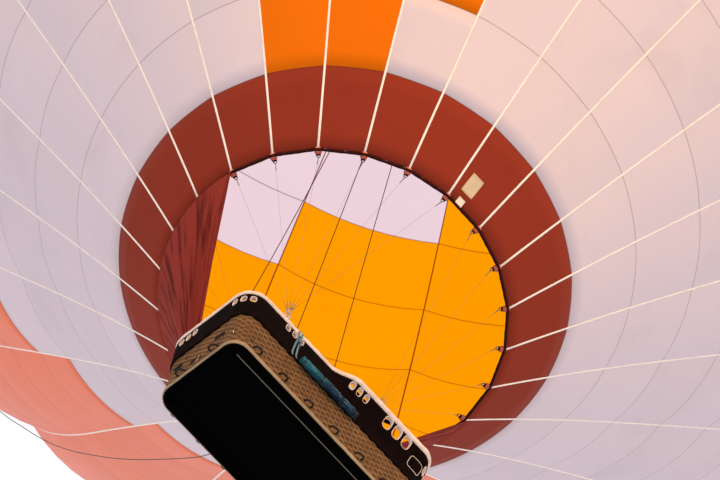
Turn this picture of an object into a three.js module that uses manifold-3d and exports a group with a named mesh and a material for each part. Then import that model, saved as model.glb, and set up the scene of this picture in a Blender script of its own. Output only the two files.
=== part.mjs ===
// Passenger hot air balloon: a 24 gore fabric envelope over a rectangular wicker basket.
// Millimetres, +Z up. Heights below are given above the mouth's hem, and the whole group is
// lowered at the end so that the origin is the centre of the enclosed air, where the lift acts.
// +X runs along the basket's long side, and the two middle load tapes lie either side of it.
import * as THREE from 'three';
import { mergeVertices } from 'three/addons/utils/BufferGeometryUtils.js';
import Module from 'manifold-3d';

const wasm = await Module();
wasm.setup();

// Driving dimensions
const MOUTH_R = 2200;
const LIFT_HEIGHT = 15400;
const GORES = 24;
const SEGMENTS_PER_GORE = 4;
const SHELL = 10;
const GAP = 0.3;

const BAND_HEIGHT = 0.523 * MOUTH_R;
const LOW_ROW = 0.537 * MOUTH_R;
const LOW_ROWS = 9;
const HIGH_ROW = 0.675 * MOUTH_R;
const HIGH_ROWS = 14;
const TOP_ROW = 0.793 * MOUTH_R;
const TWIST = { gores: -0.17, from: 5 * MOUTH_R, full: 9.4 * MOUTH_R, fading: 12.1 * MOUTH_R, to: 14.8 * MOUTH_R };

const FRAME_HEIGHT = -2000;
const FRAME_HALF = { x: 800, y: 370 };
const RIM_HEIGHT = -2660;
const BASKET_FOOT = -3870;
const BASKET_RIM = { x: 1560, y: 684, corner: 250 };
const BASKET_BASE = { x: 1500, y: 630, corner: 190 };

const scene = new THREE.Group();
const TURN = 2 * Math.PI;
const DEGREE = Math.PI / 180;

const PAINT = {
  white: [0xf0dfe2, 0.7, 0],
  orange: [0xf08010, 0.7, 0],
  band: [0x8e3a22, 0.75, 0],
  tape: [0xf3e9e2, 0.8, 0],
  steel: [0xb9bcc0, 0.35, 0.9],
  dark_steel: [0x4a4c50, 0.45, 0.8],
  leather: [0x16130f, 0.6, 0],
  wicker: [0x9a7448, 0.85, 0],
  board: [0x141312, 0.8, 0],
  rope: [0x2c241d, 0.9, 0],
  edging: [0xc9b48c, 0.8, 0],
  blue: [0x1c8fb5, 0.7, 0],
};

/** Adds one closed body to the balloon under a plain name. */
function add(name, geometry, paint) {
  const [color, roughness, metalness] = PAINT[paint];
  const mesh = new THREE.Mesh(geometry, new THREE.MeshStandardMaterial({ color, roughness, metalness }));
  mesh.name = name;
  scene.add(mesh);
  return mesh;
}

/** A geometry with its shared corners merged, as booleans need it. */
function sealed(geometry) {
  const bare = geometry.clone();
  bare.deleteAttribute('normal');
  bare.deleteAttribute('uv');
  return mergeVertices(bare, 1e-3);
}

/** The solid inside a closed geometry. */
function solid(geometry) {
  const bare = sealed(geometry);
  const vertProperties = new Float32Array(bare.attributes.position.array);
  const triVerts = new Uint32Array(bare.index.array);
  return new wasm.Manifold(new wasm.Mesh({ numProp: 3, vertProperties, triVerts }));
}

/** A solid turned back into a geometry. */
function surface(body) {
  const mesh = body.getMesh();
  const geometry = new THREE.BufferGeometry();
  geometry.setAttribute('position', new THREE.Float32BufferAttribute(Array.from(mesh.vertProperties), 3));
  geometry.setIndex(Array.from(mesh.triVerts));
  return geometry;
}

/** One body out of pieces that are welded, sewn or woven together. */
const welded = (parts) => surface(parts.map(solid).reduce((whole, part) => whole.add(part)));

// The meridian is a run of arcs: at each station its slope from the vertical, in degrees.
// Arc lengths are in mouth radii, measured up the cloth from the hem.
const MERIDIAN = [
  { arc: 0, slope: 36 },
  { arc: 1.5, slope: 39.5 },
  { arc: 3.2, slope: 40.5 },
  { arc: 5.3, slope: 31 },
  { arc: 8.8, slope: 2 },
  { arc: 12.0, slope: -42 },
  { arc: 13.8, slope: -72 },
  { arc: 15.7, slope: -88 },
];

/** Radius, height and slope of the envelope at an arc length above the hem. */
function meridian(arcLength) {
  let r = MOUTH_R;
  let z = 0;
  for (let i = 1; i < MERIDIAN.length; i += 1) {
    const from = MERIDIAN[i - 1];
    const to = MERIDIAN[i];
    const span = (to.arc - from.arc) * MOUTH_R;
    const done = Math.min(arcLength - from.arc * MOUTH_R, span);
    const slope0 = from.slope * DEGREE;
    const turn = (to.slope - from.slope) * DEGREE / span;
    const slope1 = slope0 + turn * done;
    r += (Math.cos(slope0) - Math.cos(slope1)) / turn;
    z += (Math.sin(slope1) - Math.sin(slope0)) / turn;
    if (done < span) return { r, z, slope: slope1 };
  }
  return { r, z, slope: MERIDIAN[MERIDIAN.length - 1].slope * DEGREE };
}

// Seams: arc length of each horizontal seam, the hem first and the crown opening's edge last.
const SEAMS = [0, BAND_HEIGHT];
for (let row = 1; row <= LOW_ROWS; row += 1) SEAMS.push(BAND_HEIGHT + row * LOW_ROW);
for (let row = 1; row <= HIGH_ROWS; row += 1) SEAMS.push(SEAMS[1 + LOW_ROWS] + row * HIGH_ROW);
SEAMS.push(SEAMS[SEAMS.length - 1] + TOP_ROW);
const ROWS = SEAMS.length - 1;

/** Angle of load tape number k; the tapes lie evenly either side of both axes. */
const tapeAngle = (k) => (k - 16.5) * TURN / GORES;

/** How far cloth swells out between two tapes, as a share of the gore's width; none at the hem. */
function swell(arcLength) {
  const share = Math.min(1, arcLength / SEAMS[ROWS]);
  return 0.02 * Math.min(1, arcLength / BAND_HEIGHT) + 0.11 * Math.sin(Math.PI * share);
}

/** How far the wind has turned the cloth round the axis, in gores; the hem and crown stay put. */
function twist(arcLength) {
  const grown = THREE.MathUtils.smoothstep(arcLength, TWIST.from, TWIST.full);
  const faded = THREE.MathUtils.smoothstep(arcLength, TWIST.fading, TWIST.to);
  return TWIST.gores * grown * (1 - faded);
}

/** A point of the envelope: column counts parts of a gore, depth is measured inward from the outside. */
function envelopePoint(column, arcLength, depth, sideShift = 0) {
  const { r, z, slope } = meridian(arcLength);
  const within = (column % SEGMENTS_PER_GORE) / SEGMENTS_PER_GORE;
  const halfGore = Math.PI / GORES;
  const offTape = (within - 0.5) * 2 * halfGore;
  const chord = r * Math.cos(halfGore) / Math.cos(offTape);
  const rise = 4 * within * (1 - within) * swell(arcLength) * 2 * r * Math.sin(halfGore);
  const angle = tapeAngle(column / SEGMENTS_PER_GORE + twist(arcLength));
  const radius = chord + (rise - depth) * Math.cos(slope);
  const height = z - (rise - depth) * Math.sin(slope);
  return new THREE.Vector3(
    radius * Math.cos(angle) - sideShift * Math.sin(angle),
    radius * Math.sin(angle) + sideShift * Math.cos(angle),
    height,
  );
}

/**
 * A shell over a set of cells of a grid: has(column, row) says which cells are cloth, and
 * point(column, row, depth, nudge) places a corner. Corners on an edge of the set step back
 * from it by half a gap, so that two neighbours never touch.
 */
function shellOver({ columns, rows, closed, has, point, thickness = SHELL, gap = GAP }) {
  const wrap = (column) => (closed ? ((column % columns) + columns) % columns : column);
  const cloth = (column, row) => {
    if (row < 0 || row >= rows) return false;
    if (!closed && (column < 0 || column >= columns)) return false;
    return has(wrap(column), row);
  };
  const positions = [];
  const index = [];
  const seen = new Map();
  const corner = (column, row, side) => {
    const key = `${wrap(column)},${row},${side}`;
    if (seen.has(key)) return seen.get(key);
    const left = cloth(column - 1, row - 1) || cloth(column - 1, row);
    const right = cloth(column, row - 1) || cloth(column, row);
    const below = cloth(column - 1, row - 1) || cloth(column, row - 1);
    const above = cloth(column - 1, row) || cloth(column, row);
    const nudge = { side: 0, up: 0 };
    const all = [[-1, -1], [-1, 0], [0, -1], [0, 0]];
    const missing = all.filter(([c, r]) => !cloth(column + c, row + r));
    if (missing.length === 1) {
      nudge.side = missing[0][0] === 0 ? -gap / 2 : gap / 2;
      nudge.up = missing[0][1] === 0 ? -gap / 2 : gap / 2;
    } else {
      if (left !== right) nudge.side = left ? -gap / 2 : gap / 2;
      if (below !== above) nudge.up = below ? -gap / 2 : gap / 2;
    }
    const place = point(column, row, side ? thickness : 0, nudge);
    positions.push(place.x, place.y, place.z);
    seen.set(key, positions.length / 3 - 1);
    return positions.length / 3 - 1;
  };
  const quad = (a, b, c, d) => index.push(a, b, c, a, c, d);
  for (let row = 0; row < rows; row += 1) {
    for (let column = 0; column < columns; column += 1) {
      if (!cloth(column, row)) continue;
      const ring = [[column, row], [column + 1, row], [column + 1, row + 1], [column, row + 1]];
      const outer = ring.map(([c, r]) => corner(c, r, 0));
      const inner = ring.map(([c, r]) => corner(c, r, 1));
      quad(...outer);
      quad(inner[3], inner[2], inner[1], inner[0]);
      const beyond = [[column, row - 1], [column + 1, row], [column, row + 1], [column - 1, row]];
      beyond.forEach(([c, r], edge) => {
        if (cloth(c, r)) return;
        const next = (edge + 1) % 4;
        quad(outer[next], outer[edge], inner[edge], inner[next]);
      });
    }
  }
  const geometry = new THREE.BufferGeometry();
  geometry.setAttribute('position', new THREE.Float32BufferAttribute(positions, 3));
  geometry.setIndex(index);
  return geometry;
}

/** Cloth of the envelope over the gore cells that has(gore, row) picks. */
function envelopeCloth(has) {
  return shellOver({
    columns: GORES * SEGMENTS_PER_GORE,
    rows: ROWS,
    closed: true,
    has: (column, row) => has(Math.floor(column / SEGMENTS_PER_GORE), row),
    point: (column, row, depth, nudge) => (
      envelopePoint(column, SEAMS[row] + nudge.up, depth, nudge.side)),
  });
}

// Colour blocks: two stepped triangles of orange, one starting at each of these gores. Gore by
// gore the lower edge climbs a row and the upper edge drops a row, until they meet.
const ORANGE_STARTS = { a: 6, b: 18 };
const ORANGE_GORES = 11;
const ORANGE_TOP = 20;

/** Whether a cell is orange, and in which triangle. Row 0 is the band round the mouth. */
function orangeField(gore, row) {
  for (const [field, start] of Object.entries(ORANGE_STARTS)) {
    const step = (gore - start + GORES) % GORES;
    const lowest = 1 + Math.max(0, step - 1);
    const highest = ORANGE_TOP - step;
    if (step < ORANGE_GORES && row >= lowest && row <= highest) return field;
  }
  return null;
}

add('mouth_band', envelopeCloth((gore, row) => row === 0), 'band');
for (const field of Object.keys(ORANGE_STARTS)) {
  add(`orange_triangle_${field}`, envelopeCloth((gore, row) => orangeField(gore, row) === field), 'orange');
}

// White cloth below and above each triangle, split where whole gores meet.
const WHITE_AREAS = [
  { name: 'white_lower', below: true, first: 2, last: 6 },
  { name: 'white_lower_end', below: true, first: 7, last: 11 },
  { name: 'white_upper', below: false, first: 0, last: 3 },
  { name: 'white_upper_middle', below: false, first: 4, last: 7 },
  { name: 'white_upper_end', below: false, first: 8, last: 11 },
];
for (const [field, start] of Object.entries(ORANGE_STARTS)) {
  for (const area of WHITE_AREAS) {
    const cloth = envelopeCloth((gore, row) => {
      const step = (gore - start + GORES) % GORES;
      if (step < area.first || step > area.last || row === 0 || orangeField(gore, row)) return false;
      return area.below === row <= ORANGE_TOP - step;
    });
    add(`${area.name}_${field}`, cloth, 'white');
  }
}

/** A closed ring of rectangular section whose corners lie on the load tapes. */
function goreRing(inner, outer, low, high) {
  const sides = GORES;
  const profile = [[outer, low], [outer, high], [inner, high], [inner, low], [outer, low]];
  const ring = new THREE.LatheGeometry(profile.map(([x, y]) => new THREE.Vector2(x, y)), sides);
  ring.rotateX(Math.PI / 2);
  ring.rotateZ(tapeAngle(0));
  return ring;
}

/** A straight round bar between two points. */
function bar(from, to, radius, sides = 8) {
  const length = from.distanceTo(to);
  const rod = new THREE.CylinderGeometry(radius, radius, length, sides);
  rod.rotateX(Math.PI / 2);
  const along = to.clone().sub(from).normalize();
  rod.applyQuaternion(new THREE.Quaternion().setFromUnitVectors(new THREE.Vector3(0, 0, 1), along));
  const middle = from.clone().add(to).multiplyScalar(0.5);
  rod.translate(middle.x, middle.y, middle.z);
  return rod;
}

/** A box by its size and centre. */
function block(x, y, z, cx, cy, cz) {
  return new THREE.BoxGeometry(x, y, z).translate(cx, cy, cz);
}

// Hem rope tunnel round the mouth, just under the band.
const HEM = { width: 34, height: 40 };
const hemOuter = MOUTH_R + 6;
const hemFoot = -HEM.height - GAP;
const hem = [goreRing(hemOuter - HEM.width, hemOuter, hemFoot, -GAP)];

// At the foot of each load tape a sewn loop stands in from the hem, and the flying wire hooks on.
const LINK = { width: 34, reach: 90, height: 30, radius: MOUTH_R - 60 };
for (let k = 0; k < GORES; k += 1) {
  const link = block(LINK.reach, LINK.width, LINK.height, LINK.radius + 10, 0, hemFoot + LINK.height / 2);
  hem.push(link.rotateZ(tapeAngle(k)));
}
add('mouth_hem', welded(hem), 'band');

// Karabiners at the four corners of the burner frame, and six flying wires to each.
const KARABINER = { radius: 26, length: 170 };
const HUB = { radius: 43, height: 88 };
const KARABINER_TOP = FRAME_HEIGHT + HUB.height / 2 + GAP + KARABINER.length;
const CORNERS = [
  { name: 'right_back', x: 1, y: 1 },
  { name: 'left_back', x: -1, y: 1 },
  { name: 'left_front', x: -1, y: -1 },
  { name: 'right_front', x: 1, y: -1 },
];
const WIRE_R = 4;
const GATHER = { radius: 34, height: 24 };
const cornerPoint = (corner, z) => new THREE.Vector3(corner.x * FRAME_HALF.x, corner.y * FRAME_HALF.y, z);
for (const corner of CORNERS) {
  const body = new THREE.CylinderGeometry(KARABINER.radius, KARABINER.radius, KARABINER.length, 10);
  body.rotateX(Math.PI / 2);
  const seat = cornerPoint(corner, KARABINER_TOP - KARABINER.length / 2);
  add(`karabiner_${corner.name}`, body.translate(seat.x, seat.y, seat.z), 'steel');
  const gather = new THREE.CylinderGeometry(GATHER.radius, GATHER.radius, GATHER.height, 10);
  gather.rotateX(Math.PI / 2);
  const ring = cornerPoint(corner, KARABINER_TOP + GAP + GATHER.height / 2);
  const wires = [gather.translate(ring.x, ring.y, ring.z)];
  for (let k = 0; k < GORES; k += 1) {
    const angle = tapeAngle(k);
    if (Math.sign(Math.cos(angle)) !== corner.x || Math.sign(Math.sin(angle)) !== corner.y) continue;
    const reach = new THREE.Vector3(Math.cos(angle), Math.sin(angle), 0);
    const top = reach.clone().multiplyScalar(LINK.radius).setZ(hemFoot - 3.2);
    wires.push(bar(cornerPoint(corner, KARABINER_TOP + GATHER.height / 2), top, WIRE_R, 6));
  }
  add(`flying_wires_${corner.name}`, welded(wires), 'steel');
}

// Scoop: the same cloth as the band, hung from half of the hem and drawn in to the frame.
const SCOOP = { firstTape: 16, gores: 13, rows: 6, top: hemFoot - GAP, foot: FRAME_HEIGHT + 220 };
const SCOOP_FOOT = { right: [1060, 640], left: [-1210, 740], belly: 760 };
function scoopPoint(column, row, depth, nudge) {
  const along = column / (SCOOP.gores * SEGMENTS_PER_GORE);
  const down = row / SCOOP.rows;
  const angle = tapeAngle(SCOOP.firstTape + column / SEGMENTS_PER_GORE);
  const top = new THREE.Vector2(Math.cos(angle), Math.sin(angle)).multiplyScalar(hemOuter - 4);
  const sweep = Math.PI * along;
  const foot = new THREE.Vector2(...SCOOP_FOOT.right);
  foot.lerp(new THREE.Vector2(...SCOOP_FOOT.left), (1 - Math.cos(sweep)) / 2);
  foot.y += SCOOP_FOOT.belly * Math.sin(sweep);
  const ease = down + 0.18 * Math.sin(Math.PI * down) * (1 - 2 * Math.abs(along - 0.5));
  const plan = top.clone().lerp(foot, ease);
  const inward = plan.clone().sub(new THREE.Vector2(0, 200)).normalize().multiplyScalar(depth);
  plan.sub(inward);
  return new THREE.Vector3(plan.x, plan.y, SCOOP.top + (SCOOP.foot - SCOOP.top) * down + nudge.up);
}
add('scoop', shellOver({
  columns: SCOOP.gores * SEGMENTS_PER_GORE,
  rows: SCOOP.rows,
  closed: false,
  has: () => true,
  point: (column, row, depth, nudge) => scoopPoint(column, SCOOP.rows - row, depth, nudge),
}), 'band');

// Crown: load tapes run on over the opening to a ring at the top; the parachute closes it below.
const CROWN = meridian(SEAMS[ROWS]);
const CROWN_RING = { radius: 200, tube: 14 };
const CROWN_TAPE = { width: 40, thickness: 6 };
const crownHeight = CROWN.z + 135;
const tapeEndSetback = CROWN_TAPE.width / 2 * Math.tan(Math.PI / GORES) + 3 * GAP;
const ringBody = new THREE.TorusGeometry(CROWN_RING.radius, CROWN_RING.tube, 8, 24);
const crownTapes = [ringBody.translate(0, 0, crownHeight)];
for (let k = 0; k < GORES; k += 1) {
  const from = new THREE.Vector3(CROWN_RING.radius, 0, crownHeight);
  const to = new THREE.Vector3(CROWN.r - tapeEndSetback, 0, CROWN.z - SHELL / 2);
  const length = from.distanceTo(to);
  const tape = new THREE.BoxGeometry(length, CROWN_TAPE.width, CROWN_TAPE.thickness);
  tape.rotateY(Math.atan2(from.z - to.z, to.x - from.x));
  tape.translate((from.x + to.x) / 2, 0, (from.z + to.z) / 2);
  crownTapes.push(tape.rotateZ(tapeAngle(k)));
}
add('crown_ring', welded(crownTapes), 'tape');

// The hot air presses its edge against the inside of the last row of cloth.
const PARACHUTE = { overlap: 420, rise: 98 };
const parachuteSeat = [0, 1, 2].map((column) => {
  const low = envelopePoint(column, SEAMS[ROWS - 1], SHELL);
  const high = envelopePoint(column, SEAMS[ROWS], SHELL);
  const share = 1 - PARACHUTE.overlap / (SEAMS[ROWS] - SEAMS[ROWS - 1]);
  const point = low.lerp(high, share);
  return { r: Math.hypot(point.x, point.y), z: point.z };
});
const parachuteRadius = parachuteSeat[0].r;
const parachuteEdge = Math.min(...parachuteSeat.map((seat) => seat.z)) - 3 * GAP;
const parachuteProfile = [];
for (let step = 0; step <= 4; step += 1) {
  const share = step / 4;
  const height = parachuteEdge + PARACHUTE.rise * (1 - share * share);
  parachuteProfile.push(new THREE.Vector2(parachuteRadius * share, height));
}
const underside = parachuteProfile.map((p) => new THREE.Vector2(p.x, p.y - SHELL));
const parachuteOutline = [...underside, ...parachuteProfile.reverse()];
const parachute = new THREE.LatheGeometry(parachuteOutline, GORES * SEGMENTS_PER_GORE);
parachute.rotateX(Math.PI / 2);
add('parachute_valve', parachute, 'white');

// Burner frame: a tube rectangle with two cross bars that carry the gimbal's pins.
const TUBE_R = 24;
const CROSS_X = 340;
const CROSS_R = 20;
const crossBarFlat = CROSS_R * Math.cos(Math.PI / 10);
const GIMBAL = { half: 290, tube: 16, pin: 9, tilt: 10 };
const frameTubes = [];
const frameCorners = CORNERS.map((corner) => cornerPoint(corner, FRAME_HEIGHT));
frameCorners.forEach((from, i) => {
  frameTubes.push(bar(from, frameCorners[(i + 1) % 4], TUBE_R, 10));
  const hub = new THREE.CylinderGeometry(HUB.radius, HUB.radius, HUB.height, 12).rotateX(Math.PI / 2);
  frameTubes.push(hub.translate(from.x, from.y, from.z));
});
for (const side of [-1, 1]) {
  const back = new THREE.Vector3(side * CROSS_X, FRAME_HALF.y, FRAME_HEIGHT);
  frameTubes.push(bar(back, back.clone().setY(-FRAME_HALF.y), CROSS_R, 10));
}
add('burner_frame', welded(frameTubes), 'steel');

/** A square ring of square tube, lying flat. */
function squareRing(half, tube, z) {
  const shape = new THREE.Shape();
  const hole = new THREE.Path();
  const square = (path, size) => {
    path.moveTo(-size, -size);
    path.lineTo(size, -size);
    path.lineTo(size, size);
    path.lineTo(-size, size);
    path.closePath();
  };
  square(shape, half);
  square(hole, half - 2 * tube);
  shape.holes.push(hole);
  const ring = new THREE.ExtrudeGeometry(shape, { depth: 2 * tube, bevelEnabled: false });
  return ring.translate(0, 0, z - tube);
}
const ringPins = [-1, 1].map((side) => bar(
  new THREE.Vector3(side * (GIMBAL.half - 5), 0, FRAME_HEIGHT),
  new THREE.Vector3(side * (CROSS_X - crossBarFlat - GAP), 0, FRAME_HEIGHT),
  GIMBAL.pin,
  10,
));
add('gimbal_ring', welded([squareRing(GIMBAL.half, GIMBAL.tube, FRAME_HEIGHT), ...ringPins]), 'steel');

// Burner: two coil cans side by side on one valve block, tilting inside the gimbal ring.
const VALVE_BLOCK = { x: 472, y: 200, z: 100 };
const CAN = { radius: 120, height: 420, x: 126, foot: VALVE_BLOCK.z / 2 + GAP };
const ringInside = GIMBAL.half - 2 * GIMBAL.tube;
const burnerPin = bar(
  new THREE.Vector3(0, GAP - ringInside, FRAME_HEIGHT),
  new THREE.Vector3(0, ringInside - GAP, FRAME_HEIGHT),
  GIMBAL.pin,
  10,
);
const valveBlock = block(VALVE_BLOCK.x, VALVE_BLOCK.y, VALVE_BLOCK.z, 0, 0, FRAME_HEIGHT);
add('burner_block', welded([valveBlock, burnerPin]), 'dark_steel');
for (const [name, side] of [['left', -1], ['right', 1]]) {
  const outline = [
    [CAN.radius, 0],
    [CAN.radius, CAN.height],
    [CAN.radius - 12, CAN.height],
    [CAN.radius - 12, 30],
    [0, 30],
  ];
  const points = [[0, 0], ...outline].map(([x, y]) => new THREE.Vector2(x, y));
  const can = new THREE.LatheGeometry(points, 20).rotateX(Math.PI / 2);
  add(`burner_can_${name}`, can.translate(side * CAN.x, 0, FRAME_HEIGHT + CAN.foot), 'steel');
}

// Where the long walls start to lean out: the right hand half is pushed outward above the bend.
const LEAN = { from: -200, to: 160, out: 165, drop: 40, bend: 360 };
const LEAN_STATIONS = [-200, -110, -20, 98, 160];

/** Outline of the basket: a rectangle with round corners, with extra points where the lean begins. */
function basketOutline(half, shrink, steps = 3) {
  const points = [];
  const radius = Math.max(half.corner - shrink, 20);
  const side = half.y - shrink;
  for (let quarter = 0; quarter < 4; quarter += 1) {
    const cx = [1, -1, -1, 1][quarter] * (half.x - shrink - radius);
    const cy = [1, 1, -1, -1][quarter] * (side - radius);
    for (let step = 0; step <= steps; step += 1) {
      const angle = (quarter + step / steps) * Math.PI / 2;
      const ny = Math.sin(angle);
      points.push({ x: cx + radius * Math.cos(angle), y: cy + radius * ny, ny });
    }
    if (quarter === 0) LEAN_STATIONS.toReversed().forEach((x) => points.push({ x, y: side, ny: 1 }));
    if (quarter === 2) LEAN_STATIONS.forEach((x) => points.push({ x, y: -side, ny: -1 }));
  }
  return points;
}

/** One loop round the basket: lean is 0 up to the bend and 1 at the rim. */
function basketLoop({ half, shrink, z, lean = 0 }) {
  return basketOutline(half, shrink).map(({ x, y, ny }) => {
    const share = lean * Math.abs(ny) * THREE.MathUtils.smoothstep(x, LEAN.from, LEAN.to);
    return new THREE.Vector3(x, y + Math.sign(ny) * share * LEAN.out, z - share * LEAN.drop);
  });
}

/**
 * A tapering ring whose section runs through the given levels: outside up, then inside down.
 * Where the wall twists, both faces are folded the same way, so that two rings nest.
 */
function basketRing(levels) {
  const loops = levels.map(basketLoop);
  const count = loops[0].length;
  const positions = loops.flat().flatMap((p) => [p.x, p.y, p.z]);
  const index = [];
  loops.forEach((loop, level) => {
    const next = (level + 1) % loops.length;
    for (let i = 0; i < count; i += 1) {
      const j = (i + 1) % count;
      const [a, b, c, d] = [level * count + i, level * count + j, next * count + j, next * count + i];
      if (level < loops.length / 2) index.push(a, b, c, a, c, d);
      else index.push(a, b, d, b, c, d);
    }
  });
  const geometry = new THREE.BufferGeometry();
  geometry.setAttribute('position', new THREE.Float32BufferAttribute(positions, 3));
  geometry.setIndex(index);
  return geometry;
}

/** The basket's outline at a height, between its foot and its rim. */
function basketHalf(z) {
  const share = (z - BASKET_FOOT) / (RIM_HEIGHT - BASKET_FOOT);
  const blend = (key) => BASKET_BASE[key] + (BASKET_RIM[key] - BASKET_BASE[key]) * share;
  return { x: blend('x'), y: blend('y'), corner: blend('corner') };
}

const WALL = 40;
const FLOOR = 40;
const RUNNER = { x: 2700, width: 110, height: 25, y: 560 };
const FLOOR_FOOT = BASKET_FOOT + RUNNER.height;
const FLOOR_TOP = FLOOR_FOOT + FLOOR;
const BAND_DEPTH = 470;
const BAND_THICK = 22;
const RIM_TUBE = 45;
const RIM_REACH = 47;
const bandFoot = RIM_HEIGHT - RIM_TUBE - BAND_DEPTH;
const wallTop = RIM_HEIGHT - RIM_TUBE * Math.cos(Math.PI / 8) - GAP;

/** A wall of one thickness that follows the basket's taper and lean, proud of it by some amount. */
function basketWall(low, high, proud, thickness) {
  const bend = RIM_HEIGHT - LEAN.bend;
  const stations = high > bend ? [{ z: low }, { z: bend }, { z: high, lean: 1 }] : [{ z: low }, { z: high }];
  const outside = stations.map(({ z, lean }) => ({ half: basketHalf(z), shrink: -proud, z, lean }));
  const inside = outside.map((level) => ({ ...level, shrink: thickness - proud })).reverse();
  return basketRing([...outside, ...inside]);
}

/** A full slab of the basket's outline. */
function basketSlab(low, high) {
  const loops = [low, high].map((z) => basketLoop({ half: basketHalf(z), shrink: 0, z }));
  const count = loops[0].length;
  const positions = loops.flat().flatMap((p) => [p.x, p.y, p.z]);
  const index = [];
  for (let i = 0; i < count; i += 1) {
    const j = (i + 1) % count;
    index.push(i, j, count + j, i, count + j, count + i);
    if (i > 0 && j > 0) {
      index.push(0, j, i);
      index.push(count, count + i, count + j);
    }
  }
  const geometry = new THREE.BufferGeometry();
  geometry.setAttribute('position', new THREE.Float32BufferAttribute(positions, 3));
  geometry.setIndex(index);
  return geometry;
}

add('basket_floor', basketSlab(FLOOR_FOOT, FLOOR_TOP), 'board');
add('bottom_edging', basketWall(FLOOR_FOOT, FLOOR_FOOT + 70, 14, 13), 'edging');
add('padded_band', basketWall(bandFoot, wallTop, BAND_THICK + GAP, BAND_THICK), 'leather');

// Two runners under the long edges take the landing and the dragging.
for (const [name, side] of [['back', 1], ['front', -1]]) {
  const height = RUNNER.height - GAP;
  const runner = block(RUNNER.x, RUNNER.width, height, 0, side * RUNNER.y, BASKET_FOOT + height / 2);
  add(`floor_runner_${name}`, runner, 'board');
}

// Padded rim: a soft roll right round the top of the walls.
const rimHalf = basketHalf(RIM_HEIGHT);
const rimLevels = [];
for (let side = 0; side < 8; side += 1) {
  const angle = side * TURN / 8 + Math.PI / 8;
  rimLevels.push({
    half: rimHalf,
    shrink: WALL / 2 - RIM_REACH * Math.cos(angle),
    z: RIM_HEIGHT + RIM_TUBE * Math.sin(angle),
    lean: 1,
  });
}
add('rim_pad', basketRing(rimLevels), 'leather');

// Inside, two cross partitions and a divider at each end leave a middle pilot's space.
const PARTITION = { thick: 40, x: 450, top: RIM_HEIGHT - 130 };
const partitionFoot = FLOOR_TOP + GAP;
const partitionHeight = PARTITION.top - partitionFoot;
const midZ = (PARTITION.top + partitionFoot) / 2;
const innerBase = { x: BASKET_BASE.x - WALL, y: BASKET_BASE.y - WALL };
for (const [name, side] of [['left', -1], ['right', 1]]) {
  const wide = 2 * innerBase.y - 2;
  const partition = block(PARTITION.thick, wide, partitionHeight, side * PARTITION.x, 0, midZ);
  add(`partition_${name}`, partition, 'wicker');
  const start = PARTITION.x + PARTITION.thick / 2 + GAP;
  const length = innerBase.x - start - 1;
  const middle = side * (start + length / 2);
  const divider = block(length, PARTITION.thick, partitionHeight, middle, 0, midZ);
  add(`divider_${name}`, divider, 'wicker');
}

// Four fuel cylinders stand in the pilot's space, strapped to the partitions.
const CYLINDER = { radius: 150, height: 860, x: 262, y: 400 };
for (const corner of CORNERS) {
  const half = CYLINDER.height / 2;
  const outline = [
    [0, -half],
    [CYLINDER.radius - 30, -half],
    [CYLINDER.radius, -half + 40],
    [CYLINDER.radius, half - 70],
    [CYLINDER.radius - 60, half - 10],
    [60, half],
    [60, half + 60],
    [0, half + 60],
  ];
  const profile = outline.map(([x, y]) => new THREE.Vector2(x, y));
  const tank = new THREE.LatheGeometry(profile, 20).rotateX(Math.PI / 2);
  tank.translate(corner.x * CYLINDER.x, corner.y * CYLINDER.y, partitionFoot + half);
  add(`fuel_cylinder_${corner.name}`, tank, 'steel');
}

// Uprights: a padded sleeve near each corner holds the pole and the basket's own wires. It stands
// on the rim's top, further out where the wall leans, and its top is cut level under the frame.
const UPRIGHT = { radius: 30, x: 960 };
const rimTop = RIM_HEIGHT + RIM_TUBE * Math.cos(Math.PI / 8);
for (const corner of CORNERS) {
  const leaning = corner.x > 0 ? 1 : 0;
  const y = rimHalf.y - WALL / 2 + leaning * LEAN.out;
  const foot = new THREE.Vector3(corner.x * UPRIGHT.x, corner.y * y, rimTop - leaning * LEAN.drop + GAP);
  const top = cornerPoint(corner, FRAME_HEIGHT - HUB.height / 2 - GAP);
  const sleeve = new THREE.CylinderGeometry(UPRIGHT.radius, UPRIGHT.radius, 1, 14).rotateX(Math.PI / 2);
  const [across, along] = [new THREE.Vector3(1, 0, 0), new THREE.Vector3(0, 1, 0)];
  const slant = new THREE.Matrix4().makeBasis(across, along, top.clone().sub(foot));
  slant.setPosition(foot.clone().lerp(top, 0.5));
  add(`upright_${corner.name}`, sleeve.applyMatrix4(slant), 'leather');
}

// Rope handles low on the long sides and the short sides.
const HANDLE = { rope: 9, width: 110, reach: 62, drop: 18, z: BASKET_FOOT + 165 };
const LONG_HANDLES = [-1180, -745, -310, 125, 560, 995];
const SHORT_HANDLES = [-260, 260];

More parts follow.
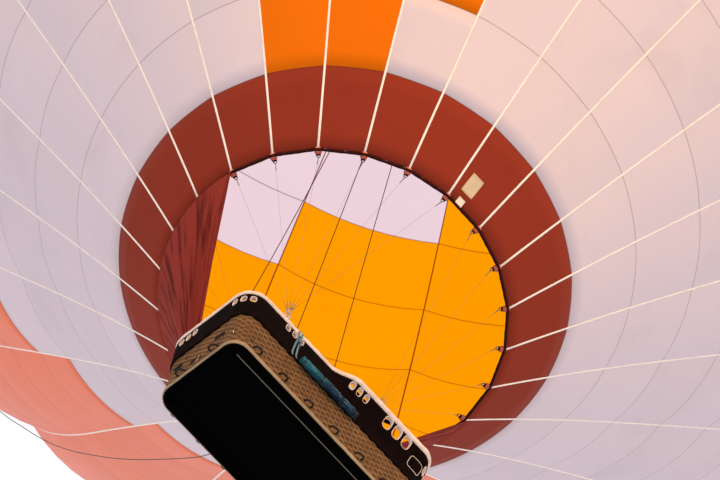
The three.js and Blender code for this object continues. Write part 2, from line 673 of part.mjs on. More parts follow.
/** A stiff loop of rope on an upright wall: its ends sink into the weave and its belly stands out. */
function ropeHandle() {
  const half = HANDLE.width / 2;
  const arch = [[-half, -15, 0], [-half * 0.97, 16, 0.2], [-half * 0.68, 46, 0.7], [0, HANDLE.reach, 1]];
  const mirrored = arch.slice(0, 3).reverse().map(([x, y, droop]) => [-x, y, droop]);
  const points = [...arch, ...mirrored].map(([x, y, droop]) => new THREE.Vector3(x, y, -HANDLE.drop * droop));
  const section = new THREE.Shape();
  section.absarc(0, 0, HANDLE.rope, 0, TURN);
  const settings = { steps: 8, curveSegments: 3, extrudePath: new THREE.CatmullRomCurve3(points) };
  return new THREE.ExtrudeGeometry(section, settings);
}
const handleHalf = basketHalf(HANDLE.z);
const wicker = [basketWall(FLOOR_TOP + GAP, wallTop, 0, WALL)];
for (const side of [-1, 1]) {
  for (const x of LONG_HANDLES) {
    const loop = side < 0 ? ropeHandle().rotateZ(Math.PI) : ropeHandle();
    wicker.push(loop.translate(x, side * handleHalf.y, HANDLE.z));
  }
  for (const y of SHORT_HANDLES) {
    wicker.push(ropeHandle().rotateZ(-side * Math.PI / 2).translate(side * handleHalf.x, y, HANDLE.z));
  }
}
add('wicker_wall', welded(wicker), 'wicker');

// A rolled cloth cover lies along the foot of the front wall's padded band, strapped to the rim.
const ROLL = { radius: 58, from: -640, to: 305, z: -3190 };
const rollReach = Math.sqrt(ROLL.radius ** 2 - (bandFoot - ROLL.z) ** 2);
const rollFace = -basketHalf(bandFoot).y - BAND_THICK - 2 * GAP - rollReach;
const rollBody = bar(
  new THREE.Vector3(ROLL.from, rollFace, ROLL.z),
  new THREE.Vector3(ROLL.to, rollFace, ROLL.z),
  ROLL.radius,
  24,
);
add('rolled_cover', rollBody, 'blue');

// Crown line: a rope from the crown ring, down the cloth, then hanging free to the back of the rim.
// On top it follows tape 22 at these distances from the axis; on the cloth each point is a tape
// number and an arc in mouth radii; in the air each is a distance from the axis and a height.
const ROPE = { radius: 6, stand: 14, sides: 8, steps: 78 };
const LINE_TAPE = 22;
const LINE_OVER_CROWN = [212, 300, 800, 1400];
const LINE_ON_CLOTH = [
  [22, 15.4], [22, 14.9], [22.02, 14.3], [22.06, 13.6], [22.1, 12.9], [22.14, 12.2], [22.17, 11.5],
  [22.2, 10.8], [22.22, 10.1], [22.24, 9.4], [22.25, 8.7], [22.25, 8], [22.25, 7.3], [22.25, 6.6],
  [22.25, 5.9], [22.25, 5.3],
];
const LINE_IN_AIR = [
  [8810, 8000], [8270, 7120], [7220, 5420], [6230, 3920], [5260, 2580], [4260, 1270], [3260, 60],
  [2280, -1070], [1400, -2030],
];
const LINE_END = { x: 220, knot: 20 };

// The knot lies against the outer face of the rim, on its leaning half.
const knotFace = rimHalf.y - WALL / 2 + RIM_REACH * Math.cos(Math.PI / 8) + LEAN.out;
const knotSeat = new THREE.Vector3(LINE_END.x, knotFace + GAP + LINE_END.knot, RIM_HEIGHT - LEAN.drop);
const crownTapeHeight = (r) => {
  const share = (r - CROWN_RING.radius) / (CROWN.r - tapeEndSetback - CROWN_RING.radius);
  return crownHeight + share * (CROWN.z - SHELL / 2 - crownHeight) + ROPE.stand;
};
const polar = (tape, r, z) => {
  const angle = tapeAngle(tape);
  return new THREE.Vector3(r * Math.cos(angle), r * Math.sin(angle), z);
};
const lineRoute = [
  ...LINE_OVER_CROWN.map((r) => polar(LINE_TAPE, r, crownTapeHeight(r))),
  ...LINE_ON_CLOTH.map(([tape, arc]) => envelopePoint(tape * SEGMENTS_PER_GORE, arc * MOUTH_R, -ROPE.stand)),
  ...LINE_IN_AIR.map(([r, z]) => polar(LINE_ON_CLOTH[LINE_ON_CLOTH.length - 1][0], r, z)),
];
const approach = lineRoute[lineRoute.length - 1].clone().sub(knotSeat).normalize();
lineRoute.push(knotSeat.clone().addScaledVector(approach, LINE_END.knot + GAP));
const ropeSection = new THREE.Shape();
ropeSection.absarc(0, 0, ROPE.radius, 0, TURN);
const rope = new THREE.ExtrudeGeometry(ropeSection, {
  steps: ROPE.steps,
  curveSegments: ROPE.sides / 2,
  extrudePath: new THREE.CatmullRomCurve3(lineRoute),
});
add('crown_line', rope, 'rope');
const knot = new THREE.SphereGeometry(LINE_END.knot, 10, 8);
add('crown_line_knot', knot.translate(knotSeat.x, knotSeat.y, knotSeat.z), 'rope');

scene.position.z = -LIFT_HEIGHT;

export default scene;
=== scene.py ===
# Looks of a passenger hot air balloon, seen from below: a 24 gore fabric envelope over a wicker basket.
# Metres, +Z up. The origin is the centre of the air in the envelope, and MOUTH_Z is the height of the hem.
import math
import random

import bmesh
import bpy
from mathutils import Matrix, Vector, noise


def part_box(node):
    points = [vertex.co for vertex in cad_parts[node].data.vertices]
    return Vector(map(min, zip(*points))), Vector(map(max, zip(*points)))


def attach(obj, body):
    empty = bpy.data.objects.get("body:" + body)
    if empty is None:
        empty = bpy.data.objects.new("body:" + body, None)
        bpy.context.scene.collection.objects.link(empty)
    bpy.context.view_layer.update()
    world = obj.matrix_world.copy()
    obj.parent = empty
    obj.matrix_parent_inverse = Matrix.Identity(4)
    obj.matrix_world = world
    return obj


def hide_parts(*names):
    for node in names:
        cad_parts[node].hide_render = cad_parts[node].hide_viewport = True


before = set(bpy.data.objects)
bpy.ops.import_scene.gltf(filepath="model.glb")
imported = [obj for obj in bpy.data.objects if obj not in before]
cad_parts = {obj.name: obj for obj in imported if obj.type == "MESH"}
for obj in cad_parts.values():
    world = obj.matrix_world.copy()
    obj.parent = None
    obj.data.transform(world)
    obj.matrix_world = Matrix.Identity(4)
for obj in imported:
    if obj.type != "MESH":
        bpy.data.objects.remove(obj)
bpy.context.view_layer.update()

# Camera. It looks up at the basket from floor level, well to the left and in front, through a long lens.
CAMERA_PLACE = Vector((-12.244, -19.965, -59.093))
CAMERA_FORWARD = Vector((0.23924, 0.38816, 0.89))
CAMERA_UP = Vector((-0.70934, -0.55604, 0.43319))
camera_data = bpy.data.cameras.new("camera")
camera_data.lens = 200
camera_data.sensor_width = 36
camera_data.clip_start = 1
camera_data.clip_end = 600
camera = bpy.data.objects.new("camera", camera_data)
bpy.context.scene.collection.objects.link(camera)
camera_back = -CAMERA_FORWARD.normalized()
camera_right = CAMERA_UP.cross(camera_back).normalized()
camera_axes = Matrix((camera_right, camera_back.cross(camera_right), camera_back)).transposed()
camera.matrix_world = Matrix.Translation(CAMERA_PLACE) @ camera_axes.to_4x4()
bpy.context.scene.camera = camera

# Crown line. A laid rope from the crown ring, down over the cloth beside load tape 22, then
# hanging free to a knot at the back of the basket's rim. Its route needs the envelope's shape.
MOUTH_R = 2.2
MOUTH_Z = -15.4
GORES = 24
HALF_GORE = math.pi / GORES
MERIDIAN = [(0, 36), (1.5, 39.5), (3.2, 40.5), (5.3, 31), (8.8, 2), (12.0, -42), (13.8, -72), (15.7, -88)]
BAND_HEIGHT = 0.523 * MOUTH_R
LOW_ROW = 0.537 * MOUTH_R
HIGH_ROW = 0.675 * MOUTH_R
TOP_ROW = 0.793 * MOUTH_R
TWIST = -0.17
TWIST_ARCS = (5.0, 9.4, 12.1, 14.8)
SEAMS = [0, BAND_HEIGHT]
SEAMS += [BAND_HEIGHT + row * LOW_ROW for row in range(1, 10)]
SEAMS += [SEAMS[10] + row * HIGH_ROW for row in range(1, 15)]
SEAMS += [SEAMS[24] + TOP_ROW]
ROWS = len(SEAMS) - 1
RIM_Z = MOUTH_Z - 2.66
ROPE_RADIUS = 0.006
ROPE_STAND = 0.014
LINE_TAPE = 22
LINE_TAPE_AIR = 22.25
LINE_OVER_CROWN = [0.212, 0.3, 0.8, 1.4]
LINE_ON_CLOTH = [
    (22, 15.4), (22, 14.9), (22.02, 14.3), (22.06, 13.6), (22.1, 12.9), (22.14, 12.2), (22.17, 11.5),
    (22.2, 10.8), (22.22, 10.1), (22.24, 9.4), (22.25, 8.7), (22.25, 8), (22.25, 7.3), (22.25, 6.6),
    (22.25, 5.9), (22.25, 5.3),
]
LINE_IN_AIR = [
    (8.81, 8.0), (8.27, 7.12), (7.22, 5.42), (6.23, 3.92), (5.26, 2.58), (4.26, 1.27), (3.26, 0.06),
    (2.28, -1.07), (1.4, -2.03),
]
KNOT_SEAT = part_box("crown_line_knot")
KNOT_CENTRE = (KNOT_SEAT[0] + KNOT_SEAT[1]) / 2
KNOT_RADIUS = 0.02
CROWN_RING_R = 0.2
CROWN_RISE = 0.135
SHELL = 0.01


def meridian(arc_length):
    """Radius, height above the mouth and slope from the vertical, at an arc length above the hem."""
    r, z = MOUTH_R, 0.0
    for (arc0, slope0), (arc1, slope1) in zip(MERIDIAN, MERIDIAN[1:]):
        span = (arc1 - arc0) * MOUTH_R
        done = min(arc_length - arc0 * MOUTH_R, span)
        turn = math.radians(slope1 - slope0) / span
        start, end = math.radians(slope0), math.radians(slope0) + turn * done
        r += (math.cos(start) - math.cos(end)) / turn
        z += (math.sin(end) - math.sin(start)) / turn
        if done < span:
            return r, z, end
    return r, z, math.radians(MERIDIAN[-1][1])


CROWN_R, CROWN_Z = meridian(SEAMS[ROWS])[:2]
CROWN_TAPE_END = CROWN_R - 0.02 * math.tan(HALF_GORE) - 0.0009


def tape_angle(k):
    """Angle of load tape number k."""
    return (k - 16.5) * 2 * HALF_GORE


def smooth_step(value, low, high):
    """Nought below low, one above high, and a soft rise between them."""
    share = min(1.0, max(0.0, (value - low) / (high - low)))
    return share * share * (3 - 2 * share)


def twist(arc_length):
    """How far the wind has turned the cloth round the axis, in gores; the hem and crown stay put."""
    start, full, fading, end = (arc * MOUTH_R for arc in TWIST_ARCS)
    return TWIST * smooth_step(arc_length, start, full) * (1 - smooth_step(arc_length, fading, end))


def swell(arc_length):
    """How far cloth stands out between two tapes, as a share of the gore's width."""
    share = min(1, arc_length / SEAMS[ROWS])
    return 0.02 * min(1, arc_length / BAND_HEIGHT) + 0.11 * math.sin(math.pi * share)


def on_envelope(gore, arc_length, depth=0.0):
    """A point of the envelope: gore counts gores and shares of them, depth goes inward."""
    r, z, slope = meridian(arc_length)
    within = gore % 1
    chord = r * math.cos(HALF_GORE) / math.cos((within - 0.5) * 2 * HALF_GORE)
    rise = 4 * within * (1 - within) * swell(arc_length) * 2 * r * math.sin(HALF_GORE)
    radius = chord + (rise - depth) * math.cos(slope)
    height = MOUTH_Z + z - (rise - depth) * math.sin(slope)
    angle = tape_angle(gore + twist(arc_length))
    return Vector((radius * math.cos(angle), radius * math.sin(angle), height))


def polar(k, r, z):
    """A point at the angle of tape k, r from the axis and z above the mouth."""
    return Vector((r * math.cos(tape_angle(k)), r * math.sin(tape_angle(k)), MOUTH_Z + z))


def crown_tape_height(r):
    """Height above the mouth of a crown tape's middle, r from the axis."""
    share = (r - CROWN_RING_R) / (CROWN_TAPE_END - CROWN_RING_R)
    return CROWN_Z + CROWN_RISE - share * (CROWN_RISE + SHELL / 2)


def new_object(name, data):
    """Puts mesh or curve data in the scene under a plain name."""
    made = bpy.data.objects.new(name, data)
    bpy.context.scene.collection.objects.link(made)
    return made


def placed(obj, body, slot, material, *nodes):
    """Gives a piece its material and its body, and hides the nodes that it stands for; slot is not used."""
    for each in material if isinstance(material, list) else [material]:
        obj.data.materials.append(each)
    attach(obj, body)
    if nodes:
        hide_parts(*nodes)
    return obj


class Paint:
    """A node material with one Principled shader and short calls for its nodes."""

    def __init__(self, name, **sockets):
        self.material = bpy.data.materials.new(name)
        self.material.use_nodes = True
        self.tree = self.material.node_tree
        self.shader = self.tree.nodes["Principled BSDF"]
        for socket, value in sockets.items():
            self.shader.inputs[socket.replace("_", " ")].default_value = value

    def node(self, kind, inputs, **settings):
        made = self.tree.nodes.new(kind)
        for key, value in settings.items():
            setattr(made, key, value)
        for key, value in inputs.items():
            if isinstance(value, bpy.types.NodeSocket):
                self.tree.links.new(value, made.inputs[key])
            else:
                made.inputs[key].default_value = value
        return made.outputs

    def math(self, operation, a, b=0.0):
        return self.node("ShaderNodeMath", {0: a, 1: b}, operation=operation)[0]

    def plus(self, a, b):
        return self.math("ADD", a, b)

    def times(self, a, b):
        return self.math("MULTIPLY", a, b)

    def mix(self, factor, a, b):
        return self.node("ShaderNodeMix", {0: factor, 6: a, 7: b}, data_type="RGBA")[2]

    def ramp(self, value, low, high, out_low=0.0, out_high=1.0):
        inputs = {"Value": value, "From Min": low, "From Max": high, "To Min": out_low, "To Max": out_high}
        return self.node("ShaderNodeMapRange", inputs)[0]

    def place(self, scale=(1, 1, 1)):
        spot = self.node("ShaderNodeTexCoord", {})["Object"]
        return self.node("ShaderNodeMapping", {"Vector": spot, "Scale": scale})[0]

    def uv(self):
        return self.node("ShaderNodeUVMap", {}, uv_map="UVMap")[0]

    def along(self):
        """The piece's own map, in metres along and across it, as two numbers."""
        return self.node("ShaderNodeSeparateXYZ", {0: self.uv()})

    def speckle(self, vector, scale, detail=4.0, roughness=0.55):
        inputs = {"Vector": vector, "Scale": scale, "Detail": detail, "Roughness": roughness}
        return self.node("ShaderNodeTexNoise", inputs)[0]

    def group(self, tree, **inputs):
        return self.node("ShaderNodeGroup", inputs, node_tree=tree)

    def bump(self, height, strength, distance):
        inputs = {"Height": height, "Strength": strength, "Distance": distance}
        self.wire(self.node("ShaderNodeBump", inputs)[0], "Normal")

    def wire(self, output, socket="Base Color"):
        self.tree.links.new(output, self.shader.inputs[socket])

    def give(self, **values):
        """Links a node group's named outputs."""
        for label, value in values.items():
            self.tree.links.new(value, self.taken[label])


def shade(colour, share=1.0):
    """A colour made darker by a share, with its alpha."""
    return (*(share * c for c in colour), 1)


def effect(name, inputs, outputs):
    """An empty shader node group with named inputs, numbers or vectors by their defaults, and outputs."""
    tree = bpy.data.node_groups.new(name, "ShaderNodeTree")
    for label, default in inputs.items():
        kind = "NodeSocketVector" if isinstance(default, tuple) else "NodeSocketFloat"
        tree.interface.new_socket(label, in_out="INPUT", socket_type=kind).default_value = default
    for label in outputs:
        tree.interface.new_socket(label, in_out="OUTPUT", socket_type="NodeSocketFloat")
    inside = Paint.__new__(Paint)
    inside.tree = tree
    inside.given = tree.nodes.new("NodeGroupInput").outputs
    inside.taken = tree.nodes.new("NodeGroupOutput").inputs
    return inside


# Laid strands: slanting ridges of a twisted rope, with painted shade in the grooves between them.
strand_inputs = {"Along": 0.0, "Across": 0.0, "Lay": 60.0, "Turns": 3.0}
strands = effect("laid_strands", strand_inputs, ("Height", "Groove"))
slant = strands.plus(strands.times(strands.given["Along"], strands.given["Lay"]),
                     strands.times(strands.given["Across"], strands.given["Turns"]))
ridge = strands.math("ABSOLUTE", strands.math("SINE", strands.times(slant, math.pi)))
strands.give(Height=ridge, Groove=strands.ramp(ridge, 0.0, 0.45, 1.0, 0.0))


def rope_paint(name, pale, dark, lay):
    """Laid rope: strands slant round it, fibres fray, and the grooves are painted dark as shade."""
    paint = Paint(name, Roughness=0.85)
    along = paint.along()
    twisted = paint.group(strands.tree, Along=along[0], Across=along[1], Lay=lay)
    body = paint.mix(paint.speckle(paint.place(), 40), shade(dark), shade(pale))
    # painted shade: the grooves between the strands are darkened
    paint.wire(paint.mix(paint.times(twisted["Groove"], 0.7), body, shade(dark, 0.35)))
    paint.bump(twisted["Height"], 0.6, 0.002)
    return paint.material


line_route = [polar(LINE_TAPE, r, crown_tape_height(r) + ROPE_STAND) for r in LINE_OVER_CROWN]
line_route += [on_envelope(k, arc * MOUTH_R, -ROPE_STAND) for k, arc in LINE_ON_CLOTH]
line_route += [polar(LINE_TAPE_AIR, r, z) for r, z in LINE_IN_AIR]
approach = (line_route[-1] - KNOT_CENTRE).normalized()
line_route.append(KNOT_CENTRE + approach * (KNOT_RADIUS + 0.0003))
line_curve = bpy.data.curves.new("crown_line_rope", "CURVE")
line_curve.dimensions = "3D"
line_curve.bevel_depth = ROPE_RADIUS
line_curve.bevel_resolution = 2
line_curve.resolution_u = 12
line_curve.use_fill_caps = True
spline = line_curve.splines.new("BEZIER")
spline.bezier_points.add(len(line_route) - 1)
for point, place in zip(spline.bezier_points, line_route):
    point.co = place
    point.handle_left_type = point.handle_right_type = "AUTO"
dark_rope = rope_paint("dark_laid_rope", (0.16, 0.12, 0.1), (0.07, 0.05, 0.04), 60)
crown_line = placed(new_object("crown_line_rope", line_curve), "root", "rope", dark_rope, "crown_line")


def mesh_object(name, vertices, faces, uvs=None, smooth=True, groups=None):
    """A mesh object from points, faces, a map point for each vertex, and a material number for each face."""
    data = bpy.data.meshes.new(name)
    data.from_pydata([tuple(v) for v in vertices], [], faces)
    if uvs is not None:
        layer = data.uv_layers.new(name="UVMap")
        corners = [0] * len(data.loops)
        data.loops.foreach_get("vertex_index", corners)
        layer.data.foreach_set("uv", [value for corner in corners for value in uvs[corner]])
    if smooth:
        data.polygons.foreach_set("use_smooth", [True] * len(data.polygons))
    if groups is not None:
        data.polygons.foreach_set("material_index", groups)
    data.update()
    return new_object(name, data)


def skin(rings, sides, closed=False, flip=False):
    """Faces between rings of vertices, with a cap at each end of an open run."""
    faces = []
    for ring in range(rings if closed else rings - 1):
        a, b = ring * sides, (ring + 1) % rings * sides
        for side in range(sides):
            other = (side + 1) % sides
            if flip:
                faces.append((a + side, b + side, b + other, a + other))
            else:
                faces.append((a + side, a + other, b + other, b + side))
    if not closed:
        first, last = tuple(range(sides)), tuple(range((rings - 1) * sides, rings * sides))
        faces += [first, last[::-1]] if flip else [first[::-1], last]
    return faces


def loft(rings, closed=False, flip=False):
    """A form over rings of (place, map point) pairs: its vertices, faces and map."""
    pairs = [pair for ring in rings for pair in ring]
    faces = skin(len(rings), len(rings[0]), closed, flip)
    return [place for place, uv in pairs], faces, [uv for place, uv in pairs]


def turns(count):
    """Angles of count even steps round a circle."""
    return [2 * math.pi * step / count for step in range(count)]


def sweep(path, radius, sides=8, closed=False, squash=1.0, up=None):
    """A round tube along a path; radius may be a list, one for each point."""
    count = len(path)
    radii = radius if isinstance(radius, (list, tuple)) else [radius] * count
    rings = []
    length = 0.0
    reference = Vector(up) if up else None
    for i, place in enumerate(path):
        before = path[(i - 1) % count] if closed or i > 0 else path[i]
        after = path[(i + 1) % count] if closed or i < count - 1 else path[i]
        along = (after - before).normalized()
        if reference is None:
            reference = along.orthogonal()
        across = (reference - along * reference.dot(along)).normalized()
        if up is None:
            reference = across
        third = along.cross(across)
        length += (place - path[i - 1]).length if i else 0.0
        ring = []
        for side, angle in enumerate(turns(sides)):
            spoke = across * math.cos(angle) * squash + third * math.sin(angle)
            ring.append((place + radii[i] * spoke, (length, side / sides)))
        rings.append(ring)
    return loft(rings, closed)


class Batch:
    """Gathers many small forms into one mesh."""

    def __init__(self):
        self.vertices, self.faces, self.uvs, self.groups = [], [], [], []

    def add(self, form, place=None, group=0):
        vertices, faces, uvs = form
        start = len(self.vertices)
        self.vertices += [place @ Vector(v) for v in vertices] if place else [Vector(v) for v in vertices]
        self.faces += [tuple(start + i for i in face) for face in faces]
        self.uvs += uvs
        self.groups += [group] * len(faces)
        return self

    def tube(self, path, radius, sides=8, group=0, **ways):
        return self.add(sweep(path, radius, sides, **ways), group=group)

    def made(self, name, smooth=True):
        return mesh_object(name, self.vertices, self.faces, self.uvs, smooth, self.groups)


def knot_path(centre, size, tilt=Matrix.Identity(3)):
    """An overhand knot: a trefoil drawn small and round."""
    path = []
    for t in turns(36):
        x, y = math.sin(t) + 2 * math.sin(2 * t), math.cos(t) - 2 * math.cos(2 * t)
        path.append(centre + tilt @ (Vector((x, y, -math.sin(3 * t))) * size / 3))
    return path


knot = Batch().tube(knot_path(KNOT_CENTRE, 0.014), 0.0058, 8, closed=True)
placed(knot.made("crown_line_end_knot"), "root", "rope", dark_rope, "crown_line_knot")

# Envelope cloth. Coated ripstop cut in panels, sewn into 24 gores between load tapes. Each area of
# one colour is a closed thin shell whose inner face has a painted glow, an emission that stands in for the
# daylight that comes through the cloth.
COLUMNS = 8
CELLS = 5
CLOTH = 0.006
BILLOW = 0.012
ORANGE_STARTS = {"a": 6, "b": 18}
ORANGE_GORES = 11
ORANGE_TOP = 20
WHITE_AREAS = [
    ("white_lower", True, 2, 6), ("white_lower_end", True, 7, 11),
    ("white_upper", False, 0, 3), ("white_upper_middle", False, 4, 7), ("white_upper_end", False, 8, 11),
]
WHITE = (0.66, 0.58, 0.655)
ORANGE = (0.745, 0.158, 0.0)
# painted shade: a paler, pinker copy of ORANGE for triangle b, the side in shade
SHADE_SIDE_ORANGE = (0.80, 0.225, 0.135)
RED = (0.243, 0.0305, 0.015)


def orange_field(gore, row):
    """Which stepped orange triangle a panel belongs to, or None. Row 0 is the band."""
    for field, start in ORANGE_STARTS.items():
        step = (gore - start) % GORES
        if step < ORANGE_GORES and 1 + max(0, step - 1) <= row <= ORANGE_TOP - step:
            return field
    return None


def shell(columns, lines, kept, point, around=None):
    """A closed thin shell over the kept cells of a grid. point(column, line, side) gives a corner's place
    and map point on the outer face, 0, or the inner face, 1; around says which way the grid closes."""
    vertices, faces, uvs, groups, grid, known = [], [], [], [], [], {}

    def corner(column, line, side):
        if around == "columns":
            column %= columns
        elif around == "lines":
            line %= lines
        key = (column, line, side)
        if key not in known:
            known[key] = len(vertices)
            place, uv = point(*key)
            vertices.append(place)
            uvs.append(uv)
        return known[key]

    for column in range(columns):
        for line in range(lines):
            if not kept(column, line):
                continue
            ring = [(column, line), (column + 1, line), (column + 1, line + 1), (column, line + 1)]
            outer = [corner(*spot, 0) for spot in ring]
            inner = [corner(*spot, 1) for spot in ring]
            faces += [outer, inner[::-1]]
            groups += [0, 1]
            grid += [ring, ring[::-1]]
            beyond = [(column, line - 1), (column + 1, line), (column, line + 1), (column - 1, line)]
            for edge, spot in enumerate(beyond):
                after = (edge + 1) % 4
                if not kept(*spot):
                    faces.append([outer[after], outer[edge], inner[edge], inner[after]])
                    groups.append(0)
                    grid.append([ring[after], ring[edge], ring[edge], ring[after]])
    return vertices, faces, uvs, groups, grid, known


def cloth_point(column, line, side):
    """A corner of the cloth's grid; each panel billows a little between its seams."""
    row, cell = divmod(line, CELLS)
    if row == ROWS:
        row, cell = ROWS - 1, CELLS
    share = cell / CELLS
    arc = SEAMS[row] + (SEAMS[row + 1] - SEAMS[row]) * share
    within = (column % COLUMNS) / COLUMNS
    puff = BILLOW * math.sin(math.pi * share) * math.sin(math.pi * within) if row else 0.0
    return on_envelope(column / COLUMNS, arc, CLOTH * side - puff), None


def cloth_area(name, has):
    """The shell over the panels that has(gore, row) picks, with its map in gores and rows."""
    columns, lines = GORES * COLUMNS, ROWS * CELLS

    def kept(column, line):
        return 0 <= line < lines and has(column % columns // COLUMNS, line // CELLS)

    vertices, faces, _, groups, grid, known = shell(columns, lines, kept, cloth_point, "columns")
    made = mesh_object(name, vertices, faces, None, True, groups)
    layer = made.data.uv_layers.new(name="UVMap")
    flat = [value for face in grid for c, l in face for value in (c / COLUMNS, l / CELLS)]
    layer.data.foreach_set("uv", flat)
    on_tape = {known[key] for key in known if key[0] % COLUMNS == 0}
    for edge in made.data.edges:
        edge.use_edge_sharp = edge.vertices[0] in on_tape and edge.vertices[1] in on_tape
    return made


# Panel seams: a dark line where two panels of the map meet, and a tone of its own for each panel.
panels = effect("panel_seams", {"Map": (0, 0, 0), "Line": 0.006, "Side": 0.006}, ("Seam", "Tape", "Tone"))
split = panels.node("ShaderNodeSeparateXYZ", {0: panels.given["Map"]})
for axis, wide, label in ((1, "Line", "Seam"), (0, "Side", "Tape")):
    beside = panels.math("SUBTRACT", panels.math("PINGPONG", split[axis], 0.5), panels.given[wide])
    panels.give(**{label: panels.ramp(beside, 0.0, 0.002, 1.0, 0.0)})
panel = panels.node("ShaderNodeVectorMath", {0: panels.given["Map"]}, operation="FLOOR")[0]
panels.give(Tone=panels.node("ShaderNodeTexWhiteNoise", {"Vector": panel}, noise_dimensions="3D")["Value"])

# Ripstop: the fine square grid of thicker threads in coated nylon, over soft slack ripples.
ripstop = effect("ripstop_cloth", {"Vector": (0, 0, 0), "Thread": 160.0, "Ripple": 1.0}, ("Height", "Soil"))
spot = ripstop.given["Vector"]
threads = {"Vector": spot, "Scale": ripstop.given["Thread"], "Mortar Size": 0.04}
threads.update({"Brick Width": 1.0, "Row Height": 1.0})
checks = ripstop.node("ShaderNodeTexBrick", threads, offset=0.0)["Fac"]
slack = ripstop.times(ripstop.speckle(spot, 1.3, 3), ripstop.given["Ripple"])
crumple = {"Vector": spot, "Scale": 5.0, "Detail": 5.0, "Distortion": 1.2}
wrinkle = ripstop.times(ripstop.node("ShaderNodeTexNoise", crumple)[0], 0.35)
ripstop.give(Height=ripstop.plus(ripstop.plus(slack, wrinkle), ripstop.times(checks, 0.02)))
ripstop.give(Soil=ripstop.ramp(ripstop.speckle(spot, 0.7, 6, 0.65), 0.52, 0.78))


def cloth_paint(name, colour, seam, sheen, tint, soil=0.35):
    """The outside of coated cloth: panel tones, grey seam lines, soiling and a pale grazing sheen."""
    paint = Paint(name, Roughness=0.8, Specular_IOR_Level=0.08, Sheen_Weight=sheen, Sheen_Roughness=0.3,
                  Sheen_Tint=shade(tint))
    seams = paint.group(panels.tree, Map=paint.uv())
    weave = paint.group(ripstop.tree, Vector=paint.place())
    toned = paint.mix(seams["Tone"], shade(colour, 0.95), shade(colour))
    dirty = paint.mix(paint.times(weave["Soil"], soil), toned, shade(colour, 0.72))
    paint.wire(paint.mix(seams["Seam"], dirty, shade(seam)))
    paint.bump(weave["Height"], 0.25, 0.02)
    return paint.material


def lit_cloth_paint(name, colour, seam):
    """The inside of the cloth, painted light: an emission glow stands in for the daylight through it, and seams
    and tapes are painted dark against it as their shade.
    """
    paint = Paint(name, Roughness=0.9, Specular_IOR_Level=0.0, Emission_Strength=1.0)
    seams = paint.group(panels.tree, Map=paint.uv(), Line=0.008, Side=0.0035)
    weave = paint.group(ripstop.tree, Vector=paint.place())
    toned = paint.mix(seams["Tone"], shade(colour, 0.93), shade(colour))
    clouded = paint.mix(weave["Soil"], toned, shade(colour, 0.9))
    # painted light and shade: the emission is the glow of daylight through the cloth, darkened on tapes and
    # seams as their shade
    dark = paint.math("MAXIMUM", paint.times(seams["Seam"], 0.55), seams["Tape"])
    paint.wire(paint.mix(dark, clouded, shade(seam)), "Emission Color")
    paint.wire(paint.mix(dark, shade(colour, 0.06), shade(seam, 0.2)))
    paint.bump(weave["Height"], 0.2, 0.02)
    return paint.material


white_outside = cloth_paint("white_ripstop", WHITE, (0.42, 0.36, 0.40), 0.15, (1.0, 0.9, 0.95))
orange_outside = {
    "a": cloth_paint("orange_ripstop", ORANGE, (0.45, 0.08, 0.01), 0.15, (1.0, 0.5, 0.3), 0.2),
    # painted shade: triangle b takes the paler copy with more pink sheen, for its shaded side
    "b": cloth_paint("shade_side_orange_ripstop", SHADE_SIDE_ORANGE, (0.5, 0.14, 0.09), 0.4, (1.0, 0.7, 0.75), 0.2),
}
red_outside = cloth_paint("red_heatproof_cloth", RED, (0.15, 0.02, 0.012), 0.04, (1.0, 0.6, 0.6), 0.3)
white_inside = lit_cloth_paint("white_ripstop_lit", (0.86, 0.67, 0.745), (0.20, 0.09, 0.10))
orange_inside = lit_cloth_paint("orange_ripstop_lit", (1.0, 0.34, 0.0), (0.30, 0.05, 0.0))
red_inside = lit_cloth_paint("red_cloth_lit", (0.26, 0.02, 0.01), (0.08, 0.01, 0.005))

band = cloth_area("band_cloth", lambda gore, row: row == 0)
placed(band, "root", "red_cloth", [red_outside, red_inside], "mouth_band")
for field, start in ORANGE_STARTS.items():
    orange = cloth_area(f"orange_cloth_{field}", lambda gore, row: orange_field(gore, row) == field)
    paints = [orange_outside[field], orange_inside]
    placed(orange, "root", "orange_cloth", paints, f"orange_triangle_{field}")
    for area, below, first, last in WHITE_AREAS:
        def in_area(gore, row):
            step = (gore - start) % GORES
            if not first <= step <= last or row == 0 or orange_field(gore, row):
                return False
            return below == (row <= ORANGE_TOP - step)
        white = cloth_area(f"{area}_cloth_{field}", in_area)
        placed(white, "root", "white_cloth", [white_outside, white_inside], f"{area}_{field}")

# Load tapes. Woven polyester webbing sewn over every gore seam from the hem to the crown, outside;
# two rows of stitches hold each one.
TAPE_WIDTH = 0.028
TAPE_THICK = 0.003
TAPE_STEPS = 120


def ribbon(path, outward, width, thickness):
    """A flat strap along a path, lying against the side that outward points away from."""
    rings = []
    length = 0.0
    for i, place in enumerate(path):
        along = (path[min(i + 1, len(path) - 1)] - path[max(i - 1, 0)]).normalized()
        up = outward[i] if isinstance(outward, list) else outward
        across = along.cross(up).normalized()
        up = across.cross(along)
        length += (place - path[i - 1]).length if i else 0.0
        ring = []
        for side, lift in ((-1, 0), (1, 0), (1, 1), (0, 1.35), (-1, 1)):
            spot = place + across * side * width / 2 + up * thickness * lift
            ring.append((spot, (length, (side + 1) * width / 2)))
        rings.append(ring)
    return loft(rings, flip=True)


# Webbing: a fine twill rib across the strap, with darker stitch lines near both edges.
webbing = effect("webbing", {"Along": 0.0, "Across": 0.0, "Width": 0.03}, ("Height", "Stitch"))
across_share = webbing.math("DIVIDE", webbing.given["Across"], webbing.given["Width"])
from_middle = webbing.math("SUBTRACT", across_share, 0.5)
line = webbing.math("COMPARE", webbing.math("ABSOLUTE", from_middle), 0.36)
line.node.inputs[2].default_value = 0.04
dash = webbing.math("GREATER_THAN", webbing.math("SINE", webbing.times(webbing.given["Along"], 1250.0)), -0.2)
rib = webbing.math("SINE", webbing.times(webbing.given["Along"], 1600.0))
webbing.give(Height=rib, Stitch=webbing.times(line, dash))


